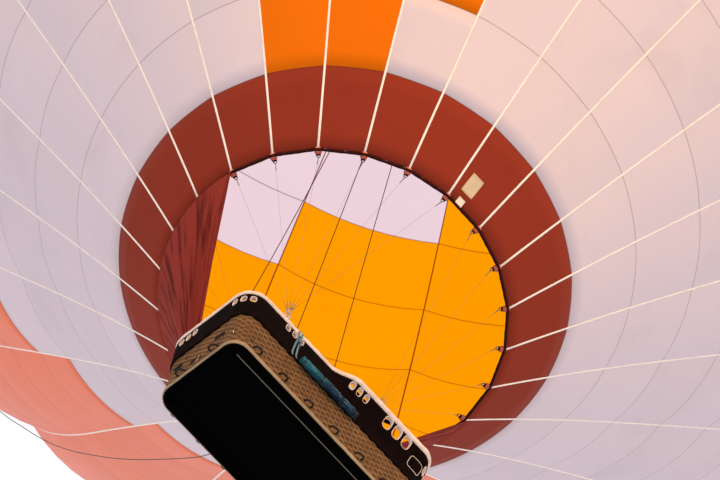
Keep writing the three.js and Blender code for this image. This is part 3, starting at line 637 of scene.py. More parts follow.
def webbing_paint(name, colour, thread, width):
    """Woven strap: cross ribs, two rows of stitches and a little grime."""
    paint = Paint(name, Roughness=0.75)
    along = paint.along()
    woven = paint.group(webbing.tree, Along=along[0], Across=along[1], Width=width)
    grime = paint.ramp(paint.speckle(paint.place(), 6), 0.5, 0.8)
    body = paint.mix(grime, shade(colour), shade(colour, 0.8))
    paint.wire(paint.mix(woven["Stitch"], body, shade(thread)))
    paint.bump(woven["Height"], 0.3, 0.0006)
    return paint.material


tape_paint = webbing_paint("white_webbing", (0.93, 0.85, 0.8), (0.6, 0.5, 0.45), TAPE_WIDTH)
tapes = Batch()
for k in range(GORES):
    path, outward = [], []
    for step in range(TAPE_STEPS + 1):
        arc = SEAMS[ROWS] * step / TAPE_STEPS
        slope = meridian(arc)[2]
        angle = tape_angle(k + twist(arc))
        path.append(on_envelope(k, arc, -0.001))
        level = math.cos(slope)
        outward.append(Vector((level * math.cos(angle), level * math.sin(angle), -math.sin(slope))))
    tapes.add(ribbon(path, outward, TAPE_WIDTH, TAPE_THICK))
placed(tapes.made("load_tapes"), "root", "tape", tape_paint)

# Mouth hem. A rope runs in a sewn tunnel of the same red cloth, drawn near black; at the foot of each
# load tape a doubled red tab holds a steel ring for the flying wire.
HEM_TOP = MOUTH_Z - 0.0003
HEM_R = 2.186
HEM_TUBE = 0.019
HEM_STEPS = 12
TAB = (0.088, 0.075, 0.012)
TAB_PATCH = (TAB[0] * 0.8, 0.09, 0.006)
HEM_RING_R = 0.022
HEM_RING_IN = 0.10


def raised(z):
    return Vector((0, 0, z))


def steps_along(start, way, *places):
    """Points at some distances from a start along a direction."""
    return [start + way * place for place in places]


def tape_ways(k):
    """The outward and the sideways direction at load tape k."""
    angle = tape_angle(k)
    return Vector((math.cos(angle), math.sin(angle), 0)), Vector((-math.sin(angle), math.cos(angle), 0))


def round_path(centre, radius, steps, x_axis=(1, 0, 0), y_axis=(0, 1, 0)):
    """Points of a circle round a centre, in the plane of two axes."""
    x_axis, y_axis = Vector(x_axis), Vector(y_axis)
    return [Vector(centre) + radius * (x_axis * math.cos(t) + y_axis * math.sin(t)) for t in turns(steps)]


def pillow(size, crown=0.3, corner=0.25, cells=8):
    """A soft slab: a rounded rectangle with puffed faces."""
    width, length, thick = size

    def point(i, j, side):
        u, v = 2 * i / cells - 1, 2 * j / cells - 1
        pull = 1 - corner * (u * v) ** 2 * 0.5
        edge = max(abs(u), abs(v))
        bulge = (1 - edge ** 4) * (1 - crown) + crown * (edge < 1)
        place = Vector((u * width / 2 * pull, v * length / 2 * pull, (1 - 2 * side) * thick / 2 * bulge))
        return place, ((u + 1) * width / 2, (v + 1) * length / 2)

    return shell(cells, cells, lambda i, j: 0 <= i < cells and 0 <= j < cells, point)[:3]


def frame_at(centre, x_axis, z_axis):
    """A placing matrix with its x and z along two directions."""
    z_axis = Vector(z_axis).normalized()
    x_axis = Vector(x_axis)
    x_axis = (x_axis - z_axis * x_axis.dot(z_axis)).normalized()
    turn = Matrix((x_axis, z_axis.cross(x_axis), z_axis)).transposed()
    return Matrix.Translation(Vector(centre)) @ turn.to_4x4()


hem_path, hem_radii = [], []
for step in range(GORES * HEM_STEPS):
    within = (step / HEM_STEPS) % 1
    reach = HEM_R * math.cos(HALF_GORE) / math.cos((within - 0.5) * 2 * HALF_GORE)
    hem_path.append(tape_ways(step / HEM_STEPS)[0] * reach + raised(HEM_TOP - HEM_TUBE - 0.001))
    hem_radii.append(HEM_TUBE + 0.0015 * math.sin(step * 2.4) + 0.001 * math.sin(step * 5.1))
hem = Batch().tube(hem_path, hem_radii, 10, group=1, closed=True, up=(0, 0, 1))
rings = Batch()
for k in range(GORES):
    out, side = tape_ways(k)
    for lift in (-0.007, 0.007):
        fold = out * (MOUTH_R - 0.04) + raised(HEM_TOP - 0.02 + lift)
        hem.add(pillow(TAB), frame_at(fold, side, (0, 0, 1)))
    hem.add(pillow(TAB_PATCH), frame_at(out * (MOUTH_R + 0.004) + raised(HEM_TOP + 0.02), side, out))
    centre = out * (MOUTH_R - HEM_RING_IN) + raised(HEM_TOP - 0.022)
    rings.tube(round_path(centre, HEM_RING_R, 16, side, out), 0.006, 8, closed=True)
    knob = steps_along(centre + out * 0.014, side, -0.03, -0.0255, 0.0255, 0.03)
    rings.tube(knob, [0.008, 0.013, 0.013, 0.008], 8, group=1)


def red_trim_paint(name, colour):
    """Doubled heatproof cloth: plain weave, a fine puckered relief, and darker in random patches."""
    paint = Paint(name, Roughness=0.85, Specular_IOR_Level=0.1)
    spot = paint.place()
    weave = paint.group(ripstop.tree, Vector=spot, Thread=300.0)
    paint.wire(paint.mix(paint.speckle(spot, 25), shade(colour, 0.6), shade(colour)))
    paint.bump(paint.plus(weave["Height"], paint.speckle(spot, 60)), 0.5, 0.004)
    return paint.material


def metal_paint(name, colour, roughness, stain):
    """Drawn or welded metal: fine scratches, finger grime and heat or weather stains."""
    paint = Paint(name, Metallic=1.0, Roughness=roughness)
    scratch = paint.speckle(paint.place((8, 8, 120)), 6, 6, 0.7)
    blotch = paint.ramp(paint.speckle(paint.place(), 9), 0.45, 0.75)
    paint.wire(paint.mix(blotch, shade(colour), shade(stain)))
    paint.wire(paint.ramp(scratch, 0.3, 0.8, roughness * 0.8, min(1, roughness * 1.6)), "Roughness")
    paint.bump(scratch, 0.08, 0.001)
    return paint.material


red_trim = red_trim_paint("salmon_tab_cloth", (0.62, 0.16, 0.11))
# the hem tunnel and the ring knobs are drawn near black
near_black_hem = red_trim_paint("near_black_hem_cloth", (0.035, 0.004, 0.003))
steel = metal_paint("satin_steel", (0.62, 0.62, 0.64), 0.32, (0.42, 0.40, 0.38))
placed(hem.made("hem_tunnel_and_tabs"), "root", "red_cloth", [red_trim, near_black_hem], "mouth_hem")
dull_steel = metal_paint("stained_cable", (0.26, 0.23, 0.20), 0.5, (0.16, 0.13, 0.11))
placed(rings.made("hem_rings"), "root", "steel", [dull_steel, near_black_hem])

# Flying wires. Stainless cables, six to each corner, with a thimble and a crimped sleeve at both
# ends; a closed ring gathers them above the karabiner.
CORNERS = {"right_back": (1, 1), "left_back": (-1, 1), "left_front": (-1, -1), "right_front": (1, -1)}
WIRE_R = 0.0013
GATHER_R = 0.028
SLEEVE_R = 0.0055
SLEEVE_PLACES = (0.045, 0.051, 0.099, 0.105)


def thimble(tip, away, size=0.018, wire=0.0035):
    """A teardrop eye of wire whose round end sits at tip and whose point is turned away."""
    away = away.normalized()
    side = away.orthogonal().normalized()
    path = []
    for t in turns(20):
        narrow = math.sin(t / 2) ** 1.2
        path.append(tip + away * size * (1.3 + 1.3 * math.cos(t)) + side * size * math.sin(t) * narrow)
    return sweep(path, wire, 6, closed=True)


karabiner_boxes = {corner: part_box(f"karabiner_{corner}") for corner in CORNERS}
for corner, (sx, sy) in CORNERS.items():
    low, high = karabiner_boxes[corner]
    seat = Vector(((low.x + high.x) / 2, (low.y + high.y) / 2, high.z + 0.0125))
    wires = Batch().tube(round_path(seat, GATHER_R, 20), 0.0065, 8, group=1, closed=True)
    for k in range(GORES):
        out = tape_ways(k)[0]
        if out.x * sx < 0 or out.y * sy < 0:
            continue
        top = out * (MOUTH_R - HEM_RING_IN - 0.02) + raised(HEM_TOP - 0.03)
        along = (top - seat).normalized()
        foot = seat + Vector((along.x, along.y, 0)).normalized() * GATHER_R + raised(0.004)
        along = (top - foot).normalized()
        wires.tube([foot + along * 0.04, top - along * 0.04], WIRE_R, 6)
        for end, way in ((foot, along), (top, -along)):
            wires.add(thimble(end, way))
            wires.tube(steps_along(end, way, *SLEEVE_PLACES), [0.003, SLEEVE_R, SLEEVE_R, 0.003], 8)
    placed(wires.made(f"wires_{corner}"), "root", "steel", [dull_steel, steel], f"flying_wires_{corner}")

# Karabiners. Forged steel D links with a screw sleeve, one at each corner of the burner frame; an
# eye under each holds it to the frame's hub.
KARABINER_ROD = 0.0075
KARABINER_HALF = 0.034


def karabiner_form(low, high):
    """A D shaped link with a screw sleeve over its gate, and the shackle that holds it to the frame."""
    centre = (low + high) / 2
    half_height = (high.z - low.z) / 2 - KARABINER_ROD
    made = Batch()
    path = []
    for t in turns(40):
        x = math.copysign(abs(math.cos(t)) ** 0.55, math.cos(t)) * KARABINER_HALF
        z = math.copysign(abs(math.sin(t)) ** 0.7, math.sin(t)) * half_height * 0.85
        path.append(centre + Vector((x, 0, z + half_height * 0.15)))
    made.tube(path, KARABINER_ROD, 8, closed=True, up=(0, 1, 0))
    gate = centre + Vector((KARABINER_HALF, 0, 0))
    made.tube(steps_along(gate, raised(1), -0.022, -0.02, 0.028, 0.03), [0.008, 0.0115, 0.0115, 0.008], 12)
    foot = Vector((centre.x, centre.y, low.z))
    made.tube(steps_along(foot, raised(1), 0, 0.004, 0.03), [0.03, 0.03, 0.012], 12)
    eye = round_path(foot + raised(0.034), 0.014, 16, (0, 1, 0), (0, 0, 1))
    return made.tube(eye, 0.006, 8, closed=True, up=(1, 0, 0))


for corner, box in karabiner_boxes.items():
    link = karabiner_form(*box).made(f"karabiner_link_{corner}")
    placed(link, "root", "steel", steel, f"karabiner_{corner}")

# Scoop. A skirt of the band's red cloth laced under half of the hem, drawn in towards the frame so
# that it catches the wind; slack gathers into long folds near both free edges.
SCOOP_FIRST = 16
SCOOP_GORES = 13
SCOOP_TOP = MOUTH_Z - 0.0406
SCOOP_FOOT_Z = MOUTH_Z - 1.78
SCOOP_TOP_R = 2.202
SCOOP_RIGHT = Vector((1.06, 0.64))
SCOOP_LEFT = Vector((-1.21, 0.74))
SCOOP_BELLY = 0.76
SCOOP_COLUMNS = SCOOP_GORES * 24
SCOOP_ROWS = 30
SCOOP_CLOTH = 0.003
SCOOP_FLAT = (7.5, 2.0)


def scoop_point(row, column, side):
    """A point of the scoop with its folds: columns run along its hem, rows from hem to foot."""
    share, down = column / SCOOP_COLUMNS, row / SCOOP_ROWS
    angle = tape_angle(SCOOP_FIRST + SCOOP_GORES * share)
    top = Vector((math.cos(angle), math.sin(angle))) * SCOOP_TOP_R
    foot = SCOOP_RIGHT.lerp(SCOOP_LEFT, (1 - math.cos(math.pi * share)) / 2)
    foot.y += SCOOP_BELLY * math.sin(math.pi * share)
    plan = top.lerp(foot, down + 0.18 * math.sin(math.pi * down) * (1 - 2 * abs(share - 0.5)))
    out = (plan - Vector((0, 0.2))).normalized()
    near_edge = max(0.0, 1 - min(share, 1 - share) / 0.2)
    loose = math.sin(math.pi * min(1, down * 1.15) * 0.5)
    count = SCOOP_GORES * 2 + 34 * near_edge
    fold = math.sin(2 * math.pi * count * share + 1.5 * math.sin(9 * share))
    fold += 0.4 * math.sin(2 * math.pi * 2.7 * count * share + 2 * down)
    plan = plan + out * (fold * loose * (0.006 + 0.016 * near_edge) - side * SCOOP_CLOTH)
    place = Vector((plan.x, plan.y, SCOOP_TOP + (SCOOP_FOOT_Z - SCOOP_TOP) * down))
    return place, (share * SCOOP_FLAT[0], down * SCOOP_FLAT[1])


def scoop_paint(name, glow):
    """Heatproof cloth of the scoop: long creases painted dark as shade, and a painted glow, an emission that
    stands in for daylight through the cloth.
    """
    colour = (0.235, 0.03, 0.02)
    paint = Paint(name, Roughness=0.8, Specular_IOR_Level=0.05, Emission_Strength=glow)
    along = paint.along()
    weave = paint.group(ripstop.tree, Vector=paint.place())
    stretched = paint.node("ShaderNodeCombineXYZ", {0: along[0], 1: paint.times(along[1], 0.12)})[0]
    crease = paint.speckle(stretched, 9, 5, 0.6)
    # painted shade: the creases darken both the colour and the glow
    dark = paint.ramp(crease, 0.36, 0.52)
    paint.wire(paint.mix(dark, shade(colour, 0.34), shade(colour)))
    paint.wire(paint.mix(dark, shade((0.10, 0.008, 0.006)), shade((0.20, 0.02, 0.014))), "Emission Color")
    paint.bump(paint.plus(weave["Height"], paint.times(crease, 2.0)), 0.6, 0.02)
    return paint.material


def on_scoop(row, column):
    return 0 <= row < SCOOP_ROWS and 0 <= column < SCOOP_COLUMNS


vertices, faces, uvs, groups = shell(SCOOP_ROWS, SCOOP_COLUMNS, on_scoop, scoop_point)[:4]
scoop = mesh_object("scoop_cloth", vertices, faces, uvs, True, groups)
# painted glow: weak on the outer face, strong on the inner
scoop_paints = [scoop_paint("red_scoop_cloth", 0.12), scoop_paint("red_scoop_inside", 0.7)]
placed(scoop, "root", "red_cloth", scoop_paints, "scoop")

# Scoop lacing. A pale cord joins the scoop's top edge to the hem in four short straight runs, one
# between each two load tapes from tape 1 to tape 5.
LACING_R = 2.155
lacing = Batch()
for k in (1, 2, 3, 4):
    start, end = (tape_ways(k + share)[0] * LACING_R + raised(HEM_TOP - 0.046) for share in (0.12, 0.88))
    lacing.tube([start, (start + end) / 2, end], 0.0085, 6)
pink_cord = rope_paint("pale_pink_cord", (0.85, 0.62, 0.58), (0.7, 0.45, 0.42), 90)
placed(lacing.made("scoop_lacing"), "root", "rope", pink_cord)

# Basket shape. A rectangle with round corners that widens upward; the right hand half of both long
# walls leans out below the rim. Everything on the basket is set out by the way round it, in metres
# from the middle of the right hand side, and by its height.
FOOT_Z = MOUTH_Z - 3.87
BASKET_FOOT = (1.5, 0.63, 0.19)
BASKET_RIM = (1.56, 0.684, 0.25)
LEAN_FROM, LEAN_TO = -0.2, 0.16
LEAN_OUT, LEAN_DROP, LEAN_BEND = 0.165, 0.04, 0.36
RUNNER_HEIGHT = 0.025
FLOOR_FOOT = FOOT_Z + RUNNER_HEIGHT
FLOOR_TOP = FLOOR_FOOT + 0.04
BAND_LOW = RIM_Z - 0.045 - 0.47
WALL_TOP = RIM_Z - 0.0419
CORNER_RUN = math.pi / 2 * BASKET_RIM[2]
LONG_RUN = 2 * (BASKET_RIM[0] - BASKET_RIM[2])
SHORT_RUN = 2 * (BASKET_RIM[1] - BASKET_RIM[2])
RUNS = [SHORT_RUN / 2, CORNER_RUN, LONG_RUN, CORNER_RUN, SHORT_RUN]
RUNS += RUNS[3::-1]
ROUND = sum(RUNS)
CORNER_SIGNS = [(1, 1), (-1, 1), (-1, -1), (1, -1)]
SIDE_WAYS = [(1, 0, 0), (0, 1, 0), (-1, 0, 0), (0, -1, 0), (1, 0, 0)]


def basket_point(travel, z, proud=0.0, leaning=True):
    """A point of the wall's outer face and its outward direction; proud moves it outward."""
    share = (z - FOOT_Z) / (RIM_Z - FOOT_Z)
    half_x, half_y, corner = (a + (b - a) * share for a, b in zip(BASKET_FOOT, BASKET_RIM))
    radius = max(corner + proud, 0.02)
    flat_x, flat_y = half_x + proud - radius, half_y + proud - radius
    travel %= ROUND
    run = 0
    while run < len(RUNS) - 1 and travel > RUNS[run]:
        travel -= RUNS[run]
        run += 1
    part = travel / RUNS[run]
    quarter = run // 2
    if run % 2:
        turn = (quarter + part) * math.pi / 2
        sx, sy = CORNER_SIGNS[quarter]
        normal = Vector((math.cos(turn), math.sin(turn), 0))
        x, y = sx * flat_x + radius * normal.x, sy * flat_y + radius * normal.y
    else:
        normal = Vector(SIDE_WAYS[quarter])
        x, y = normal.x * (half_x + proud), normal.y * (half_y + proud)
        if quarter == 0:
            y = part * flat_y
        elif quarter == 4:
            y = (part - 1) * flat_y
        elif quarter % 2:
            x = (1 - 2 * part) * flat_x * normal.y
        else:
            y = (2 * part - 1) * flat_y * normal.x
    if leaning:
        lean = min(1.0, max(0.0, (z - RIM_Z + LEAN_BEND) / LEAN_BEND))
        amount = lean * abs(normal.y) * smooth_step(x, LEAN_FROM, LEAN_TO)
        y += math.copysign(amount * LEAN_OUT, normal.y) if normal.y else 0.0
        z -= amount * LEAN_DROP
    return Vector((x, y, z)), normal


def front_travel(x):
    """The way round to a place on the front wall, given its distance from the middle."""
    return sum(RUNS[:6]) + LONG_RUN / 2 + x


def back_travel(x):
    return sum(RUNS[:2]) + LONG_RUN / 2 - x


def left_travel(y):
    return sum(RUNS[:4]) + SHORT_RUN / 2 - y


def on_all_sides(long_places, short_places):
    """The ways round to the same places on both long walls and both short walls."""
    travels = [front_travel(x) for x in long_places] + [back_travel(x) for x in long_places]
    return travels + [left_travel(y) for y in short_places] + [y % ROUND for y in short_places]


# Hand holes. Rounded slots cut through the padded band and the weave below the rim, with bound
# edges; three groups on each long side and two on each short side.
HOLE_Z = RIM_Z - 0.12
SMALL_HOLE = (0.036, 0.060)
LARGE_HOLE = (0.062, 0.086)
LONG_SMALL_HOLES = (-0.92, -0.805, -0.69, 0.10, 0.215, 0.33)
LONG_LARGE_HOLES = (0.72, 0.885, 1.05)
SHORT_HOLES = (-0.67, -0.555, -0.44, 0.20, 0.31, 0.42)
holes = [(travel, HOLE_Z, *SMALL_HOLE) for travel in on_all_sides(LONG_SMALL_HOLES, ())]
holes += [(travel, HOLE_Z - 0.01, *LARGE_HOLE) for travel in on_all_sides(LONG_LARGE_HOLES, ())]
holes += [(travel, HOLE_Z - 0.04, *SMALL_HOLE) for travel in on_all_sides((), SHORT_HOLES)]


def beside(travel, hole):
    """How far along the wall a place is from a hole's centre."""
    return (travel - hole[0] + ROUND / 2) % ROUND - ROUND / 2


def roundness(across, up):
    """Distance from a hole's centre, where 1 is its edge, given the shares of its half width and height."""
    return (abs(across) ** 3 + abs(up) ** 3) ** (1 / 3)


def in_hole(travel, z, margin=0.0):
    """How far out from a hole's centre a place lies, from 0 to 1 at its edge, or None outside holes."""
    for hole in holes:
        along, up = beside(travel, hole), z - hole[1]
        half_wide, half_high = hole[2] + margin, hole[3] + margin
        if abs(along) <= half_wide + 0.02 and abs(up) <= half_high + 0.02:
            out = roundness(along / half_wide, up / half_high)
            if out < 1:
                return out
    return None


# Wicker wall. Willow weavers in and out of upright stakes, one row on the other, woven round the
# floor board and finished under the padded rim.
STAKES = 120
STAKE_R = 0.0046
STAKE_STEPS = 24
WEAVER_PITCH = 0.0168
WEAVER_HEIGHT = 0.0088
WEAVER_DEPTH = 0.0052
WEAVER_SIDES = 5
WEAVE_DEPTH = -0.014
WEAVE_SWING = 0.0085
WEAVERS_TOGETHER = 3
WEAVE_LOW = FLOOR_TOP + 0.006
random.seed(11)


def weaver(z, row, start, steps):
    """One length of willow that passes in front of and behind the stakes."""
    height = WEAVER_HEIGHT * random.uniform(0.86, 1.08)
    jitter = random.uniform(-0.0012, 0.0012)
    rings = []
    for place in range(start, start + steps + 1):
        travel = place * ROUND / (2 * STAKES)
        swing = WEAVE_SWING * math.cos(math.pi * (place / 2 + row // WEAVERS_TOGETHER))
        wave = 0.0014 * math.sin(travel * 7 + row * 1.7) + jitter
        centre, normal = basket_point(travel, z + wave, WEAVE_DEPTH + swing)
        ring = []
        for side in range(WEAVER_SIDES):
            angle = 2 * math.pi * (side + 0.5) / WEAVER_SIDES
            spot = centre + normal * WEAVER_DEPTH * math.cos(angle) + raised(height * math.sin(angle))
            ring.append((spot, (travel, row + side / WEAVER_SIDES)))
        rings.append(ring)
    return loft(rings, flip=True)


weave = Batch()
total = 2 * STAKES
for row in range(int((WALL_TOP - 0.01 - WEAVE_LOW) / WEAVER_PITCH)):
    z = WEAVE_LOW + (row + 0.5) * WEAVER_PITCH
    free = [in_hole(i * ROUND / total, z, 0.006) is None for i in range(total)]
    if all(free):
        weave.add(weaver(z, row, 7 * row % total, total))
        continue
    first = free.index(False)
    run = 0
    for i in range(first, first + total + 1):
        if free[i % total] and i < first + total:
            run += 1
            continue
        if run > 1:
            weave.add(weaver(z, row, i - run, run - 1))
        run = 0
for stake in range(STAKES):
    travel = stake * ROUND / STAKES
    path = []
    for step in range(STAKE_STEPS + 1):
        z = WEAVE_LOW - 0.004 + (WALL_TOP - 0.004 - WEAVE_LOW) * step / STAKE_STEPS
        if in_hole(travel, z, 0.004) is None:
            path.append(basket_point(travel, z, WEAVE_DEPTH)[0])
            continue
        if len(path) > 1:
            weave.tube(path, STAKE_R, 5)
        path = []
    if len(path) > 1:
        weave.tube(path, STAKE_R, 5)

# Grain: a streaked tone along a fibre and a fine relief, for cane, leather edges and board.
grain = effect("grain", {"Vector": (0, 0, 0), "Fine": 60.0, "Coarse": 6.0}, ("Tone", "Blotch", "Height"))
fine = grain.speckle(grain.given["Vector"], grain.given["Fine"], 5, 0.6)
coarse = grain.speckle(grain.given["Vector"], grain.given["Coarse"], 4, 0.6)
grain.give(Tone=grain.ramp(fine, 0.3, 0.7), Blotch=grain.ramp(coarse, 0.35, 0.7), Height=fine)


def cane_paint(name, pale, dark, scale, together=0):
    """Smoked willow: every rod has its own tone, grain runs along it, and with together set it is painted dark
    as shade where it passes behind a stake.
    """
    paint = Paint(name, Roughness=0.7, Specular_IOR_Level=0.15)
    along = paint.along()
    rod = paint.math("FLOOR", along[1])
    rod_tone = paint.node("ShaderNodeTexWhiteNoise", {"W": rod}, noise_dimensions="1D")["Value"]
    stretched = paint.node("ShaderNodeCombineXYZ", {0: paint.times(along[0], 0.3), 1: along[1]})[0]
    fibre = paint.group(grain.tree, Vector=stretched, Fine=scale, Coarse=5.0)
    weathered = paint.group(grain.tree, Vector=paint.place(), Fine=90.0, Coarse=3.2)
    tone = paint.plus(paint.times(rod_tone, 0.4), paint.times(fibre["Tone"], 0.45))
    body = paint.mix(tone, shade(dark), shade(pale))
    # painted shade: a weaver darkens where it passes behind a stake
    if together:
        course = paint.math("FLOOR", paint.math("DIVIDE", rod, float(together)))
        stake = paint.times(along[0], STAKES / ROUND)
        wave = paint.math("COSINE", paint.times(paint.plus(stake, course), math.pi))
        uneven = paint.ramp(paint.speckle(paint.place(), 22), 0.35, 0.65, 0.15, 0.95)
        body = paint.mix(paint.times(paint.ramp(wave, -0.1, -0.8), uneven), body, shade(dark, 0.2))
    paint.wire(paint.mix(paint.times(weathered["Blotch"], 0.45), body, shade(dark, 0.5)))
    paint.bump(paint.plus(fibre["Height"], weathered["Tone"]), 0.35, 0.0015)
    return paint.material


cane = cane_paint("smoked_willow", (0.40, 0.215, 0.09), (0.10, 0.048, 0.02), 40.0, WEAVERS_TOGETHER)
placed(weave.made("wicker_weave"), "root", "wicker", cane, "wicker_wall")

# Rope handles. Stiff dark loops worked through the weave low on every side, to lift and tie it by;
# a collar lines each place where the rope goes in.
HANDLE_Z = FOOT_Z + 0.165
HANDLE_ROPE = 0.0125
HANDLE_LIFT, HANDLE_DROOP = 0.018, 0.036
HANDLE_FOOT = 0.055
LONG_HANDLES = (-1.18, -0.745, -0.31, 0.125, 0.56, 0.995)
SHORT_HANDLES = (-0.26, 0.26)
HALF_ARCH = [
    (HANDLE_FOOT, -0.018, 0.0), (0.056, 0.0, 0.03), (0.053, 0.018, 0.2), (0.048, 0.040, 0.55),
    (0.030, 0.060, 0.88),
]
HANDLE_ARCH = [(-x, out, droop) for x, out, droop in HALF_ARCH] + [(0, 0.067, 1.0)] + HALF_ARCH[::-1]
tarred_rope = rope_paint("tarred_rope", (0.014, 0.008, 0.006), (0.006, 0.004, 0.003), 60)


def smooth_path(points, steps=4):
    """A smooth curve through a short list of points."""
    path = []
    last = len(points) - 1
    for i in range(last):
        a, b, c, d = (Vector(points[min(max(i + k, 0), last)]) for k in (-1, 0, 1, 2))
        for step in range(steps):
            t = step / steps
            bend = (2 * a - 5 * b + 4 * c - d) * t ** 2 + (3 * b - a - 3 * c + d) * t ** 3
            path.append(0.5 * ((2 * b) + (c - a) * t + bend))
    return path + [Vector(points[last])]


handles = Batch()
for travel in on_all_sides(LONG_HANDLES, SHORT_HANDLES):
    centre, normal = basket_point(travel, HANDLE_Z)
    along = raised(1).cross(normal)
    centre += raised(HANDLE_LIFT)
    arch = [centre + along * x + normal * out - raised(HANDLE_DROOP * droop) for x, out, droop in HANDLE_ARCH]
    handles.tube(smooth_path(arch), HANDLE_ROPE, 8)
    for side in (-HANDLE_FOOT, HANDLE_FOOT):
        collar = steps_along(centre + along * side, normal, -0.006, -0.002, 0.006, 0.01)
        handles.tube(collar, [0.010, 0.0135, 0.0135, 0.010], 8)
placed(handles.made("rope_handles"), "root", "rope", tarred_rope, "wicker_wall")

# Bottom edging. Rawhide strips folded round the foot of the weave and stitched through it with
# waxed thread.
EDGING_STEPS = 420


def hide_paint(name, pale, dark, roughness=0.6, shine=0.12):
    """Hide: cloudy tone, fine pores, scuffs, and a soft shine where it is rubbed."""
    paint = Paint(name, Specular_IOR_Level=shine)
    pores = paint.group(grain.tree, Vector=paint.place(), Fine=220.0, Coarse=7.0)
    scuff = paint.ramp(paint.speckle(paint.place((1, 1, 0.2)), 26, 6, 0.7), 0.56, 0.72)
    body = paint.mix(pores["Blotch"], shade(dark), shade(pale))
    pale_mark = (*(min(1, 1.5 * c + 0.003) for c in pale), 1)
    paint.wire(paint.mix(paint.times(scuff, 0.35), body, pale_mark))
    paint.wire(paint.ramp(pores["Blotch"], 0, 1, roughness * 0.8, roughness * 1.15), "Roughness")
    paint.bump(paint.plus(pores["Height"], paint.times(pores["Blotch"], 0.6)), 0.35, 0.0012)
    return paint.material


def stitches(z, proud, pitch, length, slope, thick):
    """A row of short thread stitches round the basket."""
    made = Batch()
    count = int(ROUND / pitch)
    for i in range(count):
        travel = i * ROUND / count
        ends = []
        for s, lift in ((-1, -0.001), (0, 0.0012), (1, -0.001)):
            ends.append(basket_point(travel + s * length / 2, z + s * slope / 2, proud + lift)[0])
        made.tube(ends, [thick * 0.7, thick, thick * 0.7], 4)
    return made


edge_section = [
    (0.001, 0.002), (0.0005, 0.009), (0.005, 0.0135), (0.02, 0.0145),
    (0.045, 0.0135), (0.064, 0.0115), (0.07, 0.007), (0.067, 0.002),
]
rings = []
for step in range(EDGING_STEPS):
    travel = step * ROUND / EDGING_STEPS
    ring = []
    for level, (lift, proud) in enumerate(edge_section):
        shake = 0.003 * noise.noise(Vector((travel * 6, level * 0.7, 3.1)))
        place = basket_point(travel, FLOOR_FOOT + lift, proud + shake)[0]
        ring.append((place, (travel, level / len(edge_section))))
    rings.append(ring)
rawhide = hide_paint("rawhide", (0.36, 0.28, 0.18), (0.22, 0.165, 0.10))
edging = Batch().add(loft(rings, closed=True, flip=True))
placed(edging.made("bottom_edging_strip"), "root", "edging", rawhide, "bottom_edging")
lacing = stitches(FLOOR_FOOT + 0.05, 0.0142, 0.045, 0.012, 0.03, 0.0022)
waxed_thread = rope_paint("waxed_thread", (0.30, 0.22, 0.13), (0.16, 0.11, 0.06), 300)
placed(lacing.made("edging_lacing"), "root", "edging", waxed_thread)

# Floor board and runners. Birch ply sealed black below and varnished inside, on two hardwood skids;
# the front skid's inner edge carries a pale strip.
FLOOR_STEPS = 160
SKID_BOLTS = 7
BOLT_ROW_Y = 0.56


def board_paint(name, base, strip_and_scrape, roughness):
    """Sealed ply: long grain under the finish, scrapes along the board and dull scuffed patches."""
    paint = Paint(name, Specular_IOR_Level=0.01)
    wood = paint.group(grain.tree, Vector=paint.place((0.6, 14, 14)), Fine=12.0, Coarse=0.4)
    scrape = paint.ramp(paint.speckle(paint.place((0.8, 22, 22)), 3, 6, 0.75), 0.62, 0.74)
    paint.wire(paint.mix(paint.times(scrape, 0.5), shade(base), shade(strip_and_scrape)))
    paint.wire(paint.ramp(wood["Blotch"], 0, 1, roughness * 0.75, roughness), "Roughness")
    paint.bump(wood["Height"], 0.15, 0.001)
    return paint.material


def form_of(mesh, flat):
    """The form of an edited mesh, mapped over two of its axes."""
    mesh.verts.index_update()
    vertices = [vertex.co.copy() for vertex in mesh.verts]
    faces = [tuple(vertex.index for vertex in face.verts) for face in mesh.faces]
    mesh.free()
    return vertices, faces, [(place[flat[0]], place[flat[1]]) for place in vertices]


def bevelled_box(low, high, bevel, segments=2):
    """A box with rounded edges."""
    mesh = bmesh.new()
    bmesh.ops.create_cube(mesh, size=1)
    for vertex in mesh.verts:
        vertex.co = vertex.co * (high - low) + (low + high) / 2
    bmesh.ops.bevel(mesh, geom=list(mesh.edges), offset=bevel, segments=segments, affect="EDGES", profile=0.5)
    return form_of(mesh, (0, 1))


black_board = board_paint("black_sealed_board", (0.0008, 0.0008, 0.001), (0.003, 0.003, 0.003), 0.9)
varnished_ply = board_paint("varnished_ply", (0.12, 0.07, 0.034), (0.2, 0.13, 0.075), 0.7)
rings = []
for z, proud in [(FLOOR_FOOT, -0.004), (FLOOR_FOOT + 0.003, 0), (FLOOR_TOP - 0.003, 0), (FLOOR_TOP, -0.003)]:
    outline = [basket_point(step * ROUND / FLOOR_STEPS, z, proud, False)[0] for step in range(FLOOR_STEPS)]
    rings.append([(place, (place.x, place.y)) for place in outline])
board = Batch().add(loft(rings)).made("floor_board", False)
board.data.polygons[len(board.data.polygons) - 1].material_index = 1
placed(board, "root", "board", [black_board, varnished_ply], "basket_floor")
